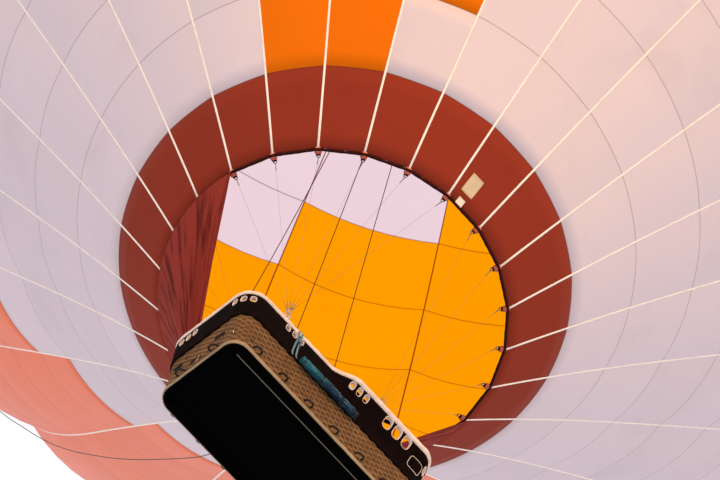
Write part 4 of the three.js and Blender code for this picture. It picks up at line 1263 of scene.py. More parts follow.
# a pale strip along the front skid's inner edge
pale_edge_paint = board_paint("pale_skid_edge", (0.16, 0.15, 0.12), (0.28, 0.26, 0.21), 0.7)
for name, side, strip_and_scrape in (("back", 1, black_board), ("front", -1, pale_edge_paint)):
    low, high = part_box(f"floor_runner_{name}")
    skid = Batch().add(bevelled_box(low, high, 0.006))
    inner = low.y if side > 0 else high.y
    strip_low = Vector((low.x + 0.01, inner - 0.006, low.z - 0.0002))
    strip_high = Vector((high.x - 0.01, inner + 0.006, low.z + 0.006))
    skid.add(bevelled_box(strip_low, strip_high, 0.002, 1), group=1)
    for bolt in range(SKID_BOLTS):
        x = low.x + 0.15 + bolt * (high.x - low.x - 0.3) / (SKID_BOLTS - 1)
        head = steps_along(Vector((x, side * BOLT_ROW_Y, low.z)), raised(1), 0.0002, 0.003, 0.006)
        skid.tube(head, [0.007, 0.011, 0.011], 10, group=2)
    paints = [black_board, strip_and_scrape, steel]
    placed(skid.made(f"floor_skid_{name}", False), "root", "board", paints, f"floor_runner_{name}")

# Padded band. Black hide over foam, wrapped round the top of the wall outside and stitched to it
# along its foot; the hand holes go through it.
BAND_GRID = (430, 28)
BAND_OUT, BAND_IN = 0.0195, 0.0012
BAND_DIP = 0.006


def edge_of_hole(travel, z):
    """The place on the nearest hole's edge that lies in the same direction from the hole's centre."""
    hole = min(holes, key=lambda h: abs(beside(travel, h)) + 0.3 * abs(z - h[1]))
    along, up = beside(travel, hole), z - hole[1]
    out = roundness(along / hole[2], up / hole[3])
    return hole[0] + along / out, hole[1] + up / out


def holed_wall(low, high, grid, proud):
    """A closed wall round the basket with the hand holes cut through it; proud(travel, z, side) gives
    the distance of its outer face, 0, and its inner face, 1."""
    steps, rows = grid
    gone = set()
    for i in range(steps):
        for j in range(rows):
            if in_hole((i + 0.5) * ROUND / steps, low + (high - low) * (j + 0.5) / rows) is not None:
                gone.add((i, j))

    def kept(i, j):
        return 0 <= j < rows and (i % steps, j) not in gone

    def point(i, j, side):
        travel, z = i * ROUND / steps, low + (high - low) * j / rows
        if 0 < j < rows and not all((kept(i - 1, j - 1), kept(i, j - 1), kept(i - 1, j), kept(i, j))):
            travel, z = edge_of_hole(travel, z)
        return basket_point(travel, z, proud(travel, z, side))[0], (travel, z - low)

    return shell(steps, rows, kept, point, "columns")[:3]


def band_face(travel, z, side):
    """Foam swells the hide between its stitched edges; it dips at the bound edge of a hole."""
    if side:
        return BAND_IN
    share = (z - BAND_LOW) / (WALL_TOP - BAND_LOW)
    swell_out = min(1, 14 * share * (1 - share)) ** 0.5
    near = in_hole(travel, z, 0.022)
    dip = 0.0 if near is None else BAND_DIP * max(0.0, 1 - (near - 0.6) / 0.4)
    crease = 0.0016 * noise.noise(Vector((travel * 5, z * 9, 0.3)))
    crease += 0.0009 * math.sin(travel * 31) * (1 - share)
    return BAND_IN + (BAND_OUT - BAND_IN) * (0.45 + 0.55 * swell_out) - dip + crease


band_hide = hide_paint("black_band_hide", (0.0075, 0.0032, 0.003), (0.003, 0.0016, 0.0018), 0.9, 0.02)
padding = Batch().add(holed_wall(BAND_LOW + 0.001, WALL_TOP - 0.0005, BAND_GRID, band_face))
placed(padding.made("band_padding"), "root", "leather", band_hide, "padded_band")
band_seam = stitches(BAND_LOW + 0.016, 0.0145, 0.012, 0.007, 0.0, 0.0011)
dark_thread = rope_paint("dark_thread", (0.06, 0.045, 0.035), (0.03, 0.02, 0.018), 300)
placed(band_seam.made("band_stitching"), "root", "leather", dark_thread)

# Hole bindings. A pale cord of rawhide is sewn round both ends of each hand hole, and a sleeve of
# the same hide lines it.
HOLE_STEPS = 28
CORD_PULL = 0.001
CORD_PROUD = (0.0155, -0.0265)
CORD_R = 0.0042
SLEEVE_RINGS = ((0.0165, 0.0012), (0.004, 0.0025), (-0.01, 0.0025), (-0.0275, 0.0012))


def hole_ring(hole, proud, pull):
    """Points round a hand hole's edge, drawn in by pull."""
    travel, z, half_wide, half_high = hole
    ring = []
    for angle in turns(HOLE_STEPS):
        c, s = math.cos(angle), math.sin(angle)
        size = 1 / roundness(c, s)
        along, up = c * size * (half_wide - pull), s * size * (half_high - pull)
        ring.append(basket_point(travel + along, z + up, proud)[0])
    return ring


bindings = Batch()
for hole in holes:
    for proud in CORD_PROUD:
        bindings.tube(hole_ring(hole, proud, CORD_PULL), CORD_R, 6, closed=True)
    sleeve = bmesh.new()
    places = [place for proud, pull in SLEEVE_RINGS for place in hole_ring(hole, proud, pull)]
    corners = [sleeve.verts.new(place) for place in places]
    for face in skin(len(SLEEVE_RINGS), HOLE_STEPS, flip=True)[:-2]:
        sleeve.faces.new([corners[k] for k in face])
    bmesh.ops.recalc_face_normals(sleeve, faces=sleeve.faces)
    bmesh.ops.solidify(sleeve, geom=list(sleeve.faces), thickness=0.0015)
    bindings.add(form_of(sleeve, (0, 2)))
suede = hide_paint("pale_suede", (0.80, 0.68, 0.64), (0.62, 0.50, 0.46), 0.8)
placed(bindings.made("hand_hole_bindings"), "root", "edging", suede)

# Wall core. The inner rods of the weave close the gaps that show between the outer weavers, painted dark
# as the shade in those gaps; they are one thin wall with the same hand holes.
CORE_GRID = (240, 48)
CORE_HALF = 0.0008


def core_face(travel, z, side):
    return WEAVE_DEPTH + CORE_HALF * (1 - 2 * side)


core = Batch().add(holed_wall(WEAVE_LOW - 0.003, WALL_TOP - 0.006, CORE_GRID, core_face))
# painted shade: a darker copy of the willow for the gaps between the weavers
core_shade_cane = cane_paint("core_willow_painted_shade", (0.12, 0.06, 0.026), (0.05, 0.025, 0.012), 60.0)
placed(core.made("weave_core"), "root", "wicker", core_shade_cane, "wicker_wall")

# Rim pad. A roll of foam under pale suede, pulled down by stitches at its foot; it dimples a little
# along the seam and swells between.
RIM_SECTION = 18
RIM_STEPS = 430
RIM_HALF = (0.0455, 0.0425)
RIM_STITCH = 0.16

rings = []
for step in range(RIM_STEPS):
    travel = step * ROUND / RIM_STEPS
    pucker = 0.0016 * math.sin(travel * 2 * math.pi / RIM_STITCH)
    pucker += 0.0022 * noise.noise(Vector((travel * 3.0, 0.2, 0.9)))
    ring = []
    for side, angle in enumerate(turns(RIM_SECTION)):
        lower = max(0.0, -math.sin(angle))
        reach = RIM_HALF[0] - 0.006 * lower ** 4 + pucker
        tall = RIM_HALF[1] + pucker * (1 - lower)
        place = basket_point(travel, RIM_Z, -0.02 + reach * math.cos(angle))[0]
        ring.append((place + raised(tall * math.sin(angle)), (travel, side / RIM_SECTION)))
    rings.append(ring)
rim = Batch().add(loft(rings, closed=True, flip=True))
placed(rim.made("rim_padding"), "root", "edging", suede, "rim_pad")

# Rolled cover. A blue nylon sheet rolled round itself under the band, with loose ends and spiral
# edges; dark ties hold it.
ROLL_LOW, ROLL_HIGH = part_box("rolled_cover")
ROLL_MIDDLE = (ROLL_LOW + ROLL_HIGH) / 2
ROLL_FIRST, ROLL_LAST = ROLL_LOW.x + 0.004, ROLL_HIGH.x - 0.004
ROLL_R = 0.054
ROLL_SIDES, ROLL_LENGTHS = 40, 90
ROLL_TIES = (-0.60, -0.30, 0.04, 0.27)
SPIRAL_TURN = 24
SPIRAL_STEPS = 4 * SPIRAL_TURN
TIE_STEPS = 28


def roll_reach(x, angle):
    """Radius of the outer turn: it sags between the ties and creases towards them."""
    tied = min(abs(x - tie) for tie in ROLL_TIES)
    pinch = 0.009 * math.exp(-(tied / 0.03) ** 2)
    crease = 0.0028 * math.sin(9 * angle + 14 * x) * math.exp(-(tied / 0.12) ** 2)
    slack = 0.003 * noise.noise(Vector((x * 6, math.cos(angle) * 1.3, math.sin(angle) * 1.3)))
    return ROLL_R - pinch + crease + slack - 0.002


def round_roll(x, reach, angle):
    """A point beside the roll's axis."""
    return Vector((x, ROLL_MIDDLE.y + reach * math.cos(angle), ROLL_MIDDLE.z + reach * math.sin(angle)))


rings = []
for i in range(ROLL_LENGTHS + 1):
    x = ROLL_FIRST + (ROLL_LAST - ROLL_FIRST) * i / ROLL_LENGTHS
    ring = []
    for side, angle in enumerate(turns(ROLL_SIDES)):
        flap = 0.0022 * side / ROLL_SIDES
        ring.append((round_roll(x, roll_reach(x, angle) - flap, angle), (x, side / ROLL_SIDES)))
    rings.append(ring)
roll = Batch().add(loft(rings))
for end in (ROLL_FIRST - 0.0015, ROLL_LAST + 0.0015):
    spiral = []
    for step in range(SPIRAL_STEPS):
        reach = 0.008 + (ROLL_R - 0.014) * step / SPIRAL_STEPS
        spiral.append(round_roll(end, reach, 2 * math.pi * step / SPIRAL_TURN))
    roll.tube(spiral, 0.0022, 5)


def nylon_paint(name, colour, far_colour, streak_colour):
    """Blue coated nylon: fine weave, long creases along the roll, paler streaks on the creases, and a blue that
    turns from teal at the left end to navy by the middle.
    """
    paint = Paint(name, Roughness=0.6, Specular_IOR_Level=0.15)
    weave_mask = paint.group(ripstop.tree, Vector=paint.place(), Thread=400.0)
    crease = paint.speckle(paint.place((3, 18, 18)), 3, 5, 0.6)
    # paler streaks along the creases
    pale_mark = paint.ramp(crease, 0.54, 0.68)
    along = paint.node("ShaderNodeSeparateXYZ", {0: paint.place()})
    toward_end = paint.ramp(along[0], ROLL_LOW.x, ROLL_MIDDLE.x)
    blue = paint.mix(toward_end, shade(colour), shade(far_colour))
    paint.wire(paint.mix(paint.times(pale_mark, 0.6), blue, shade(streak_colour)))
    paint.bump(paint.plus(weave_mask["Height"], paint.times(crease, 2)), 0.6, 0.008)
    return paint.material


blue_nylon = nylon_paint("blue_nylon", (0.006, 0.12, 0.17), (0.0036, 0.0192, 0.0544), (0.12, 0.34, 0.46))
placed(roll.made("rolled_blue_cover"), "root", "blue_cloth", blue_nylon, "rolled_cover")
ties = Batch()
for tie in ROLL_TIES:
    loop = [round_roll(tie, roll_reach(tie, angle) + 0.001, angle) for angle in turns(TIE_STEPS)]
    ties.tube(loop, 0.0042, 6, closed=True)
    low = Vector((tie, ROLL_MIDDLE.y - 0.02, ROLL_MIDDLE.z - ROLL_R - 0.001))
    ties.tube(knot_path(low, 0.009), 0.0032, 6, closed=True)
    for side in (-1, 1):
        start, way = low + Vector((side * 0.004, 0, 0)), Vector((side * 0.006, 0.002, -0.022))
        tail = steps_along(start, way, *range(6))
        ties.tube(smooth_path(tail, 2), 0.003, 6)
placed(ties.made("roll_ties"), "root", "rope", tarred_rope)

# Strap. Blue grey webbing doubled over the rim and knotted, down to the roll's left end; two short
# tails hang from its knot.
STRAP_X = -0.742
STRAP_WIDTH = 0.026
STRAP_ARCH = 12
STRAP_FALL = [
    (-2.72, 0.03, 0.0), (-2.80, 0.034, -0.4), (-2.85, 0.036, -0.8), (-2.92, 0.036, -0.2), (-3.05, 0.035, 0.2),
    (-3.18, 0.045, 0.5), (-3.27, 0.075, 0.8),
]
STRAP_SPREAD = 0.012
strap_paint = webbing_paint("blue_grey_webbing", (0.085, 0.18, 0.26), (0.25, 0.36, 0.44), STRAP_WIDTH)


def down_wall(x, z, out):
    """A place on the front wall at a distance x from its middle and out from its face."""
    place, normal = basket_point(front_travel(x), z)
    return place + normal * out


strap = Batch()
for side in (-1, 1):
    x = STRAP_X + side * STRAP_WIDTH
    inside = basket_point(front_travel(x), RIM_Z, -0.02)[0]
    path, outward = [], []
    for step in range(STRAP_ARCH + 1):
        angle = math.pi * (1.1 - 1.15 * step / STRAP_ARCH)
        c, s = math.cos(angle), math.sin(angle)
        path.append(inside + Vector((0, -0.049 * c, 0.046 * s)))
        outward.append(Vector((0, -c, s)))
    for z, out, shift in STRAP_FALL:
        path.append(down_wall(x + side * STRAP_SPREAD * shift, MOUTH_Z + z, out))
        outward.append(Vector((0, -1, 0.1)))
    strap.add(ribbon(path, outward, STRAP_WIDTH, 0.0022))
knot_at = down_wall(STRAP_X, MOUTH_Z - 2.86, 0.044)
strap_knot = knot_path(knot_at, 0.021, Matrix.Rotation(math.pi / 2, 3, "X"))
strap.tube(strap_knot, 0.0105, 8, closed=True, squash=0.6)
for reach in (0.06, 0.10):
    tail = steps_along(knot_at + Vector((0.01, -0.004, 0)), Vector((0.3, 0, -0.9)) * reach / 4, *range(5))
    strap.add(ribbon(tail, Vector((0, -1, 0)), 0.02, 0.002))
placed(strap.made("cover_strap"), "root", "tape", strap_paint)

# Foot steps and trim. Bound slots in the short sides to climb by, small tie loops, and a frayed
# tassel and a hook where the handling ropes are made fast.
STEP_SLOTS = ((-0.30, -3.44), (0.05, -3.60), (0.36, -3.44))
SLOT_LIFT = 0.019
SLOT_RADII = [0.004, 0.012] + [0.014] * 5 + [0.012, 0.004]
TIE_LOOPS = ((-0.36, -3.56), (0.20, -3.42))
TIE_LOOP_R = 0.03
TASSEL_STRANDS = 26
HOOK = ((0, 0.03), (0.014, 0.028), (0.024, 0.01), (0.022, -0.012), (0.008, -0.02), (0.002, -0.01))

trim = Batch()
slots = Batch()
for side_start, sign in ((left_travel(0), -1), (0.0, 1)):
    for along, z in STEP_SLOTS:
        travel, height = side_start + sign * along, MOUTH_Z + z
        for lift in (-SLOT_LIFT, SLOT_LIFT):
            bar = [(travel + k * 0.02, height + lift * (1 - (k / 4) ** 4)) for k in range(-4, 5)]
            trim.tube([basket_point(*spot, 0.004)[0] for spot in bar], 0.006, 6)
        slots.tube([basket_point(travel + k * 0.018, height, 0.0016)[0] for k in range(-4, 5)], SLOT_RADII, 8)
    for along, z in TIE_LOOPS:
        centre, normal = basket_point(side_start - along, MOUTH_Z + z)
        across = raised(1).cross(normal)
        arch = round_path(centre + normal * 0.004, TIE_LOOP_R, 16, across, normal)[:9]
        trim.tube(arch, 0.005, 6)
placed(trim.made("step_slot_binding"), "root", "wicker", tarred_rope)
# painted shade: each slot opening is a near-black tube laid on the wall
slot_shade_cane = cane_paint("slot_shade_willow", (0.006, 0.004, 0.003), (0.003, 0.002, 0.0015), 60.0)
placed(slots.made("step_slots"), "root", "wicker", slot_shade_cane)

tassel = Batch()
tassel_top = basket_point(left_travel(-0.02), MOUTH_Z - 3.62, 0.012)[0]
random.seed(21)
for strand in range(TASSEL_STRANDS):
    lean = Vector((random.uniform(-0.006, 0.012), random.uniform(-0.03, 0.03), 0))
    length = random.uniform(0.09, 0.16)
    path = [tassel_top + lean * (k / 4) ** 1.3 + Vector((-0.004 * k, 0, -length * k / 4)) for k in range(5)]
    tassel.tube(path, [0.0022, 0.0024, 0.0022, 0.0018, 0.001], 5)
wrap = steps_along(tassel_top - Vector((0.004, 0, 0)), raised(1), 0.012, 0.006, -0.006, -0.016)
tassel.tube(wrap, [0.006, 0.0095, 0.0095, 0.006], 8)
pink_rope = rope_paint("faded_pink_rope", (0.55, 0.32, 0.28), (0.34, 0.18, 0.15), 90)
placed(tassel.made("rope_tassel"), "root", "rope", pink_rope)
hook_seat, hook_way = basket_point(left_travel(-0.56), MOUTH_Z - 3.60, 0.004)
hook = Batch().tube(smooth_path([hook_seat + hook_way * out + raised(z) for out, z in HOOK]), 0.0045, 8)
placed(hook.made("tie_hook"), "root", "steel", steel)

# Document pocket and name plates. A flat hide pocket on the band with a pale bound edge, and blank
# cloth labels sewn on the red band.
POCKET_X, POCKET_Z = 1.30, MOUTH_Z - 2.93
POCKET_WIDE, POCKET_HIGH, POCKET_THICK = 0.21, 0.15, 0.006
POCKET_COLUMNS, POCKET_ROWS = 8, 6
POCKET_BACK = basket_point(front_travel(POCKET_X), POCKET_Z)[1] * POCKET_THICK
LABEL_OUT = 0.004
LABELS = (
    ("large_label", 10.32, 0.33, 0.186, 0.295, (0.60, 0.50, 0.36)),
    ("small_label", 10.31, 0.045, 0.106, 0.113, (0.80, 0.74, 0.68)),
)


def pocket_point(i, j, side):
    """A corner of the pocket's grid: its face bulges and its corners are drawn in."""
    u, v = i / POCKET_COLUMNS - 0.5, j / POCKET_ROWS - 0.5
    rounded = 1 - 0.12 * (2 * u) ** 4 * (2 * v) ** 4
    bulge = 0.0215 + 0.008 * (1 - max(abs(2 * u), abs(2 * v)) ** 6)
    travel, z = front_travel(POCKET_X + u * POCKET_WIDE * rounded), POCKET_Z + v * POCKET_HIGH * rounded
    place, normal = basket_point(travel, z)
    return place + normal * bulge - POCKET_BACK * side, (u * POCKET_WIDE, v * POCKET_HIGH)


def on_pocket(i, j):
    return 0 <= i < POCKET_COLUMNS and 0 <= j < POCKET_ROWS


vertices, faces, uvs, _, _, known = shell(POCKET_COLUMNS, POCKET_ROWS, on_pocket, pocket_point)
outline = [(i, 0) for i in range(POCKET_COLUMNS)] + [(POCKET_COLUMNS, j) for j in range(POCKET_ROWS)]
outline += [(POCKET_COLUMNS - i, POCKET_ROWS) for i, _ in outline[:POCKET_COLUMNS]]
outline += [(0, POCKET_ROWS - j) for j in range(POCKET_ROWS)]
pocket = Batch().add((vertices, faces, uvs))
pocket.tube([vertices[known[i, j, 0]] for i, j in outline], 0.004, 6, group=1, closed=True)
placed(pocket.made("document_pocket"), "root", "leather", [band_hide, suede])


def label_paint(name, colour):
    """A blank woven label: fine cross weave, a hem, and a little soiling."""
    paint = Paint(name, Roughness=0.8)
    weave_mask = paint.group(ripstop.tree, Vector=paint.place(), Thread=500.0)
    paint.wire(paint.mix(paint.speckle(paint.place(), 7), shade(colour, 0.8), shade(colour)))
    paint.bump(weave_mask["Height"], 0.3, 0.002)
    return paint.material


for name, gore, up, wide, high, colour in LABELS:
    centre, west, east, south, north = (
        on_envelope(gore + k, up + rise, -LABEL_OUT)
        for k, rise in ((0, 0), (-0.02, 0), (0.02, 0), (0, -0.03), (0, 0.03))
    )
    across, upward = (east - west).normalized(), (north - south).normalized()
    out = across.cross(upward)
    label = Batch().add(pillow((wide, high, 0.004), 0.9, 0.0), frame_at(centre, across, out))
    corners = ((-1, -1), (1, -1), (1, 1), (-1, 1))
    half_wide, half_high = across * wide * 0.46, upward * high * 0.44
    hem_line = [centre + half_wide * a + half_high * b + out * 0.003 for a, b in corners]
    label.tube(hem_line, 0.0015, 4, closed=True)
    placed(label.made(name), "root", "tape", label_paint(f"{name}_cloth", colour))

# Partitions and dividers. Woven panels on a stake frame split the basket into a pilot's space and
# four passenger spaces; hide strips cap them.
PANEL_PITCH = 0.017
PANEL_STAKE_GAP = 0.072
PANEL_CAP = 0.03


def woven_panel(node, axis):
    """Weavers and stakes of a flat upright panel that fills a node's box along one axis."""
    low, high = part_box(node)
    span = (high - low)[axis]
    stakes = max(4, int(span / PANEL_STAKE_GAP))

    def at(share, inset, aside, z):
        """A place on the panel: share of its length, inset from its ends, aside from its middle plane."""
        place = (low + high) / 2
        place[axis] = low[axis] + inset + (span - 2 * inset) * share
        place[1 - axis] += aside
        place.z = z
        return place

    made = Batch()
    for row in range(int((high.z - low.z - PANEL_CAP) / PANEL_PITCH)):
        height = low.z + (row + 0.5) * PANEL_PITCH
        path = []
        for step in range(2 * stakes + 1):
            swing = 0.0065 * math.cos(math.pi * (step / 2 + row))
            path.append(at(step / (2 * stakes), 0.006, swing, height + 0.001 * math.sin(step * 1.3 + row)))
        vertices, faces, uvs = sweep(path, 0.0092, 5, up=(0, 0, 1))
        made.add((vertices, faces, [(u, row + v) for u, v in uvs]))
    for stake in range(stakes + 1):
        made.tube([at(stake / stakes, 0.008, 0, z) for z in (low.z + 0.002, high.z - 0.018)], 0.0055, 6)
    cap_low = Vector((low.x, low.y, high.z - PANEL_CAP))
    return made.add(bevelled_box(cap_low, high, 0.012, 3), group=1)


for node, axis in (("partition_left", 1), ("partition_right", 1), ("divider_left", 0), ("divider_right", 0)):
    placed(woven_panel(node, axis).made(f"woven_{node}"), "root", "wicker", [cane, band_hide], node)

# Fuel cylinders. Brushed aluminium tanks with welded seams, a collar and a valve, held to
# the partitions by two webbing straps each.
TANK_FOOT = [(0.10, 0.004), (0.118, 0.0), (0.124, 0.004), (0.122, 0.02), (0.136, 0.034)]
TANK_WALL = [
    (0.004, 0.055), (0.001, 0.075), (0.001, 0.29), (0, 0.295), (0.001, 0.30), (0.001, 0.56),
    (0, 0.565), (0.001, 0.57), (0.001, 0.78), (0.006, 0.80), (0.02, 0.825), (0.05, 0.85),
]
TANK_TOP = [(0.05, 0.862), (0.02, 0.864)]
TANK_COLLAR = [(0.085, 0.845), (0.09, 0.845)]
STRAP_HEIGHTS = (0.24, 0.64)
TANK_STRAP = 0.04
brushed = metal_paint("brushed_aluminium", (0.70, 0.70, 0.71), 0.38, (0.50, 0.49, 0.48))
brass = metal_paint("valve_brass", (0.62, 0.44, 0.18), 0.35, (0.36, 0.24, 0.10))
dark_metal = metal_paint("dark_painted_steel", (0.06, 0.06, 0.065), 0.45, (0.12, 0.10, 0.08))


def spoke(angle, reach, z=0.0):
    """A step out from an upright axis at an angle, and up."""
    return Vector((reach * math.cos(angle), reach * math.sin(angle), z))


def lathed(profile, centre, sides=36):
    """A turned form about an upright axis from (radius, height) pairs, closed at both ends."""
    return loft([[(centre + spoke(angle, r, z), (angle * r, z)) for angle in turns(sides)] for r, z in profile])


def block_at(centre, half, bevel, segments=2):
    """A box with rounded edges round a centre."""
    return bevelled_box(centre - Vector(half), centre + Vector(half), bevel, segments)


for corner, (sx, sy) in CORNERS.items():
    low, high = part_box(f"fuel_cylinder_{corner}")
    centre = Vector(((low.x + high.x) / 2, (low.y + high.y) / 2, low.z))
    r, tall = (high.x - low.x) / 2, high.z - low.z
    wall = [(r - inset, z) for inset, z in TANK_WALL]
    collar = TANK_COLLAR + [(0.09, tall - 0.004), (0.087, tall), (0.083, tall), (0.082, 0.85)]
    stem = [(0.012, 0.86), (0.012, tall - 0.03), (0.02, tall - 0.028)]
    stem += [(0.021, tall - 0.01), (0.008, tall - 0.006)]
    spout = steps_along(centre + raised(tall - 0.04), Vector((-sx, 0, 0)), 0, 0.05, 0.06)
    tank = Batch().add(lathed(TANK_FOOT + wall + TANK_TOP, centre))
    tank.add(lathed(collar, centre, 28)).add(lathed(stem, centre, 16), group=1)
    tank.tube(spout, [0.009, 0.009, 0.012], 10, group=1)
    placed(tank.made(f"fuel_tank_{corner}"), "root", "cylinder", [brushed, brass], f"fuel_cylinder_{corner}")
    straps = Batch()
    for lift in STRAP_HEIGHTS:
        middle = centre + raised(lift)
        loop = round_path(middle, r + 0.0012, 48)
        loop.append(loop[0])
        straps.add(ribbon(loop, [(place - middle).normalized() for place in loop], TANK_STRAP, 0.002))
        buckle = middle - Vector((0, sy * (r + 0.006), 0))
        straps.add(block_at(buckle, (0.026, 0.004, 0.026), 0.003, 1), group=1)
    black_webbing = webbing_paint(f"black_webbing_{corner}", (0.03, 0.03, 0.032), (0.3, 0.3, 0.3), TANK_STRAP)
    placed(straps.made(f"tank_straps_{corner}"), "root", "tape", [black_webbing, steel])

# Uprights. Each holds a pole and the basket's wires in a laced hide sleeve, from the rim's top to
# the frame's corner hub.
UPRIGHT_R = 0.028
UPRIGHT_STEPS = 60
UPRIGHT_SIDES = 18
LACE_CROSSES = 14
LACE_OUT, LACE_SIDE = 0.0285, 0.007
FRAME_MIDDLE = Vector((0, 0, MOUTH_Z - 2.0))
FRAME_X, FRAME_Y = 0.8, 0.37

for corner, (sx, sy) in CORNERS.items():
    low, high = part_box(f"upright_{corner}")
    foot = Vector((sx * 0.96, sy * max(sy * (low.y + 0.03), sy * (high.y - 0.03)), low.z + 0.001))
    top = Vector((sx * FRAME_X, sy * FRAME_Y, high.z - 0.001))
    rings = []
    for step in range(UPRIGHT_STEPS + 1):
        radius = UPRIGHT_R * (0.94 if step in (0, UPRIGHT_STEPS) else 1)
        radius += 0.0012 * math.sin(step * 1.1) * math.sin(step * 0.37)
        ring = []
        for side, angle in enumerate(turns(UPRIGHT_SIDES)):
            reach = radius + 0.0012 * math.cos(3 * angle + step * 0.2)
            spot = foot.lerp(top, step / UPRIGHT_STEPS) + spoke(angle, reach)
            ring.append((spot, (step / UPRIGHT_STEPS, side / UPRIGHT_SIDES)))
        rings.append(ring)
    sleeve = Batch().add(loft(rings)).made(f"upright_sleeve_{corner}")
    placed(sleeve, "root", "leather", band_hide, f"upright_{corner}")
    lace = Batch()
    out = Vector((sx, 0, 0))
    for cross in range(LACE_CROSSES):
        shares = [(cross + part) / (LACE_CROSSES + 1) for part in (0.7, 1.4)]
        start, end = (foot.lerp(top, share) + out * LACE_OUT for share in shares)
        for way in (-LACE_SIDE, LACE_SIDE):
            a, b = start + Vector((0, way, 0)), end - Vector((0, way, 0))
            lace.tube([a, (a + b) / 2 + out * 0.001, b], 0.0014, 4)
    placed(lace.made(f"sleeve_lacing_{corner}"), "root", "edging", suede)

# Burner frame. Welded stainless tube with a socket hub at each corner, two cross bars for the
# gimbal, and padded covers on its long tubes.
CROSS_AT = 0.34
FRAME_TUBE, CROSS_TUBE = 0.0238, 0.0198
HUB = [(0.036, -0.044), (0.043, -0.040), (0.043, 0.040), (0.036, 0.044)]
HUB_GROOVES = (-0.026, 0.026)
COVERS = ((-0.70, -0.42), (-0.26, 0.26), (0.42, 0.70))
COVER_STEPS = 12
COVER_RADII = [0.0255] + [0.0335 + 0.0012 * math.sin(k * 2.3) for k in range(COVER_STEPS - 1)] + [0.0255]

frame_steel = Batch()
covers = Batch()
for sign in (-1, 1):
    long_tube = FRAME_MIDDLE + Vector((0, sign * FRAME_Y, 0))
    frame_steel.tube(steps_along(long_tube, Vector((FRAME_X, 0, 0)), -1, -0.5, 0, 0.5, 1), FRAME_TUBE, 20)
    for reach, tube in ((FRAME_X, FRAME_TUBE), (CROSS_AT, CROSS_TUBE)):
        short_tube = FRAME_MIDDLE + Vector((sign * reach, 0, 0))
        frame_steel.tube(steps_along(short_tube, Vector((0, FRAME_Y, 0)), -1, 0, 1), tube, 20)
    for way in (-1, 1):
        weld = FRAME_MIDDLE + Vector((sign * CROSS_AT, way * (FRAME_Y - 0.024), 0))
        frame_steel.tube(round_path(weld, 0.0205, 20, (1, 0, 0), (0, 0, 1)), 0.0022, 6, closed=True)
    for start, end in COVERS:
        places = [start + (end - start) * k / COVER_STEPS for k in range(COVER_STEPS + 1)]
        covers.tube(steps_along(long_tube, Vector((1, 0, 0)), *places), COVER_RADII, 16)
for sx, sy in CORNERS.values():
    hub = FRAME_MIDDLE + Vector((sx * FRAME_X, sy * FRAME_Y, 0))
    frame_steel.add(lathed(HUB, hub, 28))
    for lift in HUB_GROOVES:
        frame_steel.tube(round_path(hub + raised(lift), 0.0432, 28), 0.0016, 6, closed=True)
placed(frame_steel.made("burner_frame_tubes"), "root", "steel", steel, "burner_frame")
placed(covers.made("frame_tube_covers"), "root", "leather", band_hide)

# Gimbal ring. A square frame of square steel tube on two pins with welded bosses, so that the
# burner can tilt both ways.
GIMBAL_HALF, GIMBAL_TUBE = 0.29, 0.016
GIMBAL_INNER = GIMBAL_HALF - 2 * GIMBAL_TUBE
PIN_R = 0.0088

gimbal = Batch()
for sx in (-1, 1):
    way = Vector((sx, 0, 0))
    edge = sx * (GIMBAL_HALF - GIMBAL_TUBE)
    half_long, half_short = (GIMBAL_TUBE, GIMBAL_HALF, GIMBAL_TUBE), (GIMBAL_INNER, GIMBAL_TUBE, GIMBAL_TUBE)
    gimbal.add(block_at(FRAME_MIDDLE + Vector((edge, 0, 0)), half_long, 0.003))
    gimbal.add(block_at(FRAME_MIDDLE + Vector((0, edge, 0)), half_short, 0.003))
    gimbal.tube(steps_along(FRAME_MIDDLE, way, GIMBAL_HALF - 0.004, CROSS_AT - 0.0205), PIN_R, 14)
    boss = steps_along(FRAME_MIDDLE + way * GIMBAL_HALF, way, -0.001, 0.002, 0.012, 0.014)
    gimbal.tube(boss, [0.013, 0.015, 0.015, 0.012], 16)
placed(gimbal.made("gimbal_square_ring", False), "gimbal", "steel", steel, "gimbal_ring")

# Burner. Two coil cans on one valve block: liquid fuel runs through the coils, heats, and burns at
# the jet rings. Handles below open the blast valves.
BLOCK_HALF = Vector((0.236, 0.100, 0.050))
BOLT_INSETS = (0.05, 0.09)
CAN_X = 0.126
CAN_FOOT = FRAME_MIDDLE.z + 0.0503
CAN_HIGH = 0.42
CAN_PROFILE = [
    (0.0005, 0.001), (0.104, 0.001), (0.108, 0.008), (0.108, CAN_HIGH - 0.008), (0.112, CAN_HIGH - 0.004),
    (0.112, CAN_HIGH), (0.102, CAN_HIGH), (0.1035, CAN_HIGH - 0.02), (0.1035, 0.03), (0.0005, 0.03),
]
COIL_TURN = 32
COIL_STEPS = 13 * COIL_TURN
COIL_RISE = CAN_HIGH - 0.05
JET_RING_R = 0.062
JETS = 20

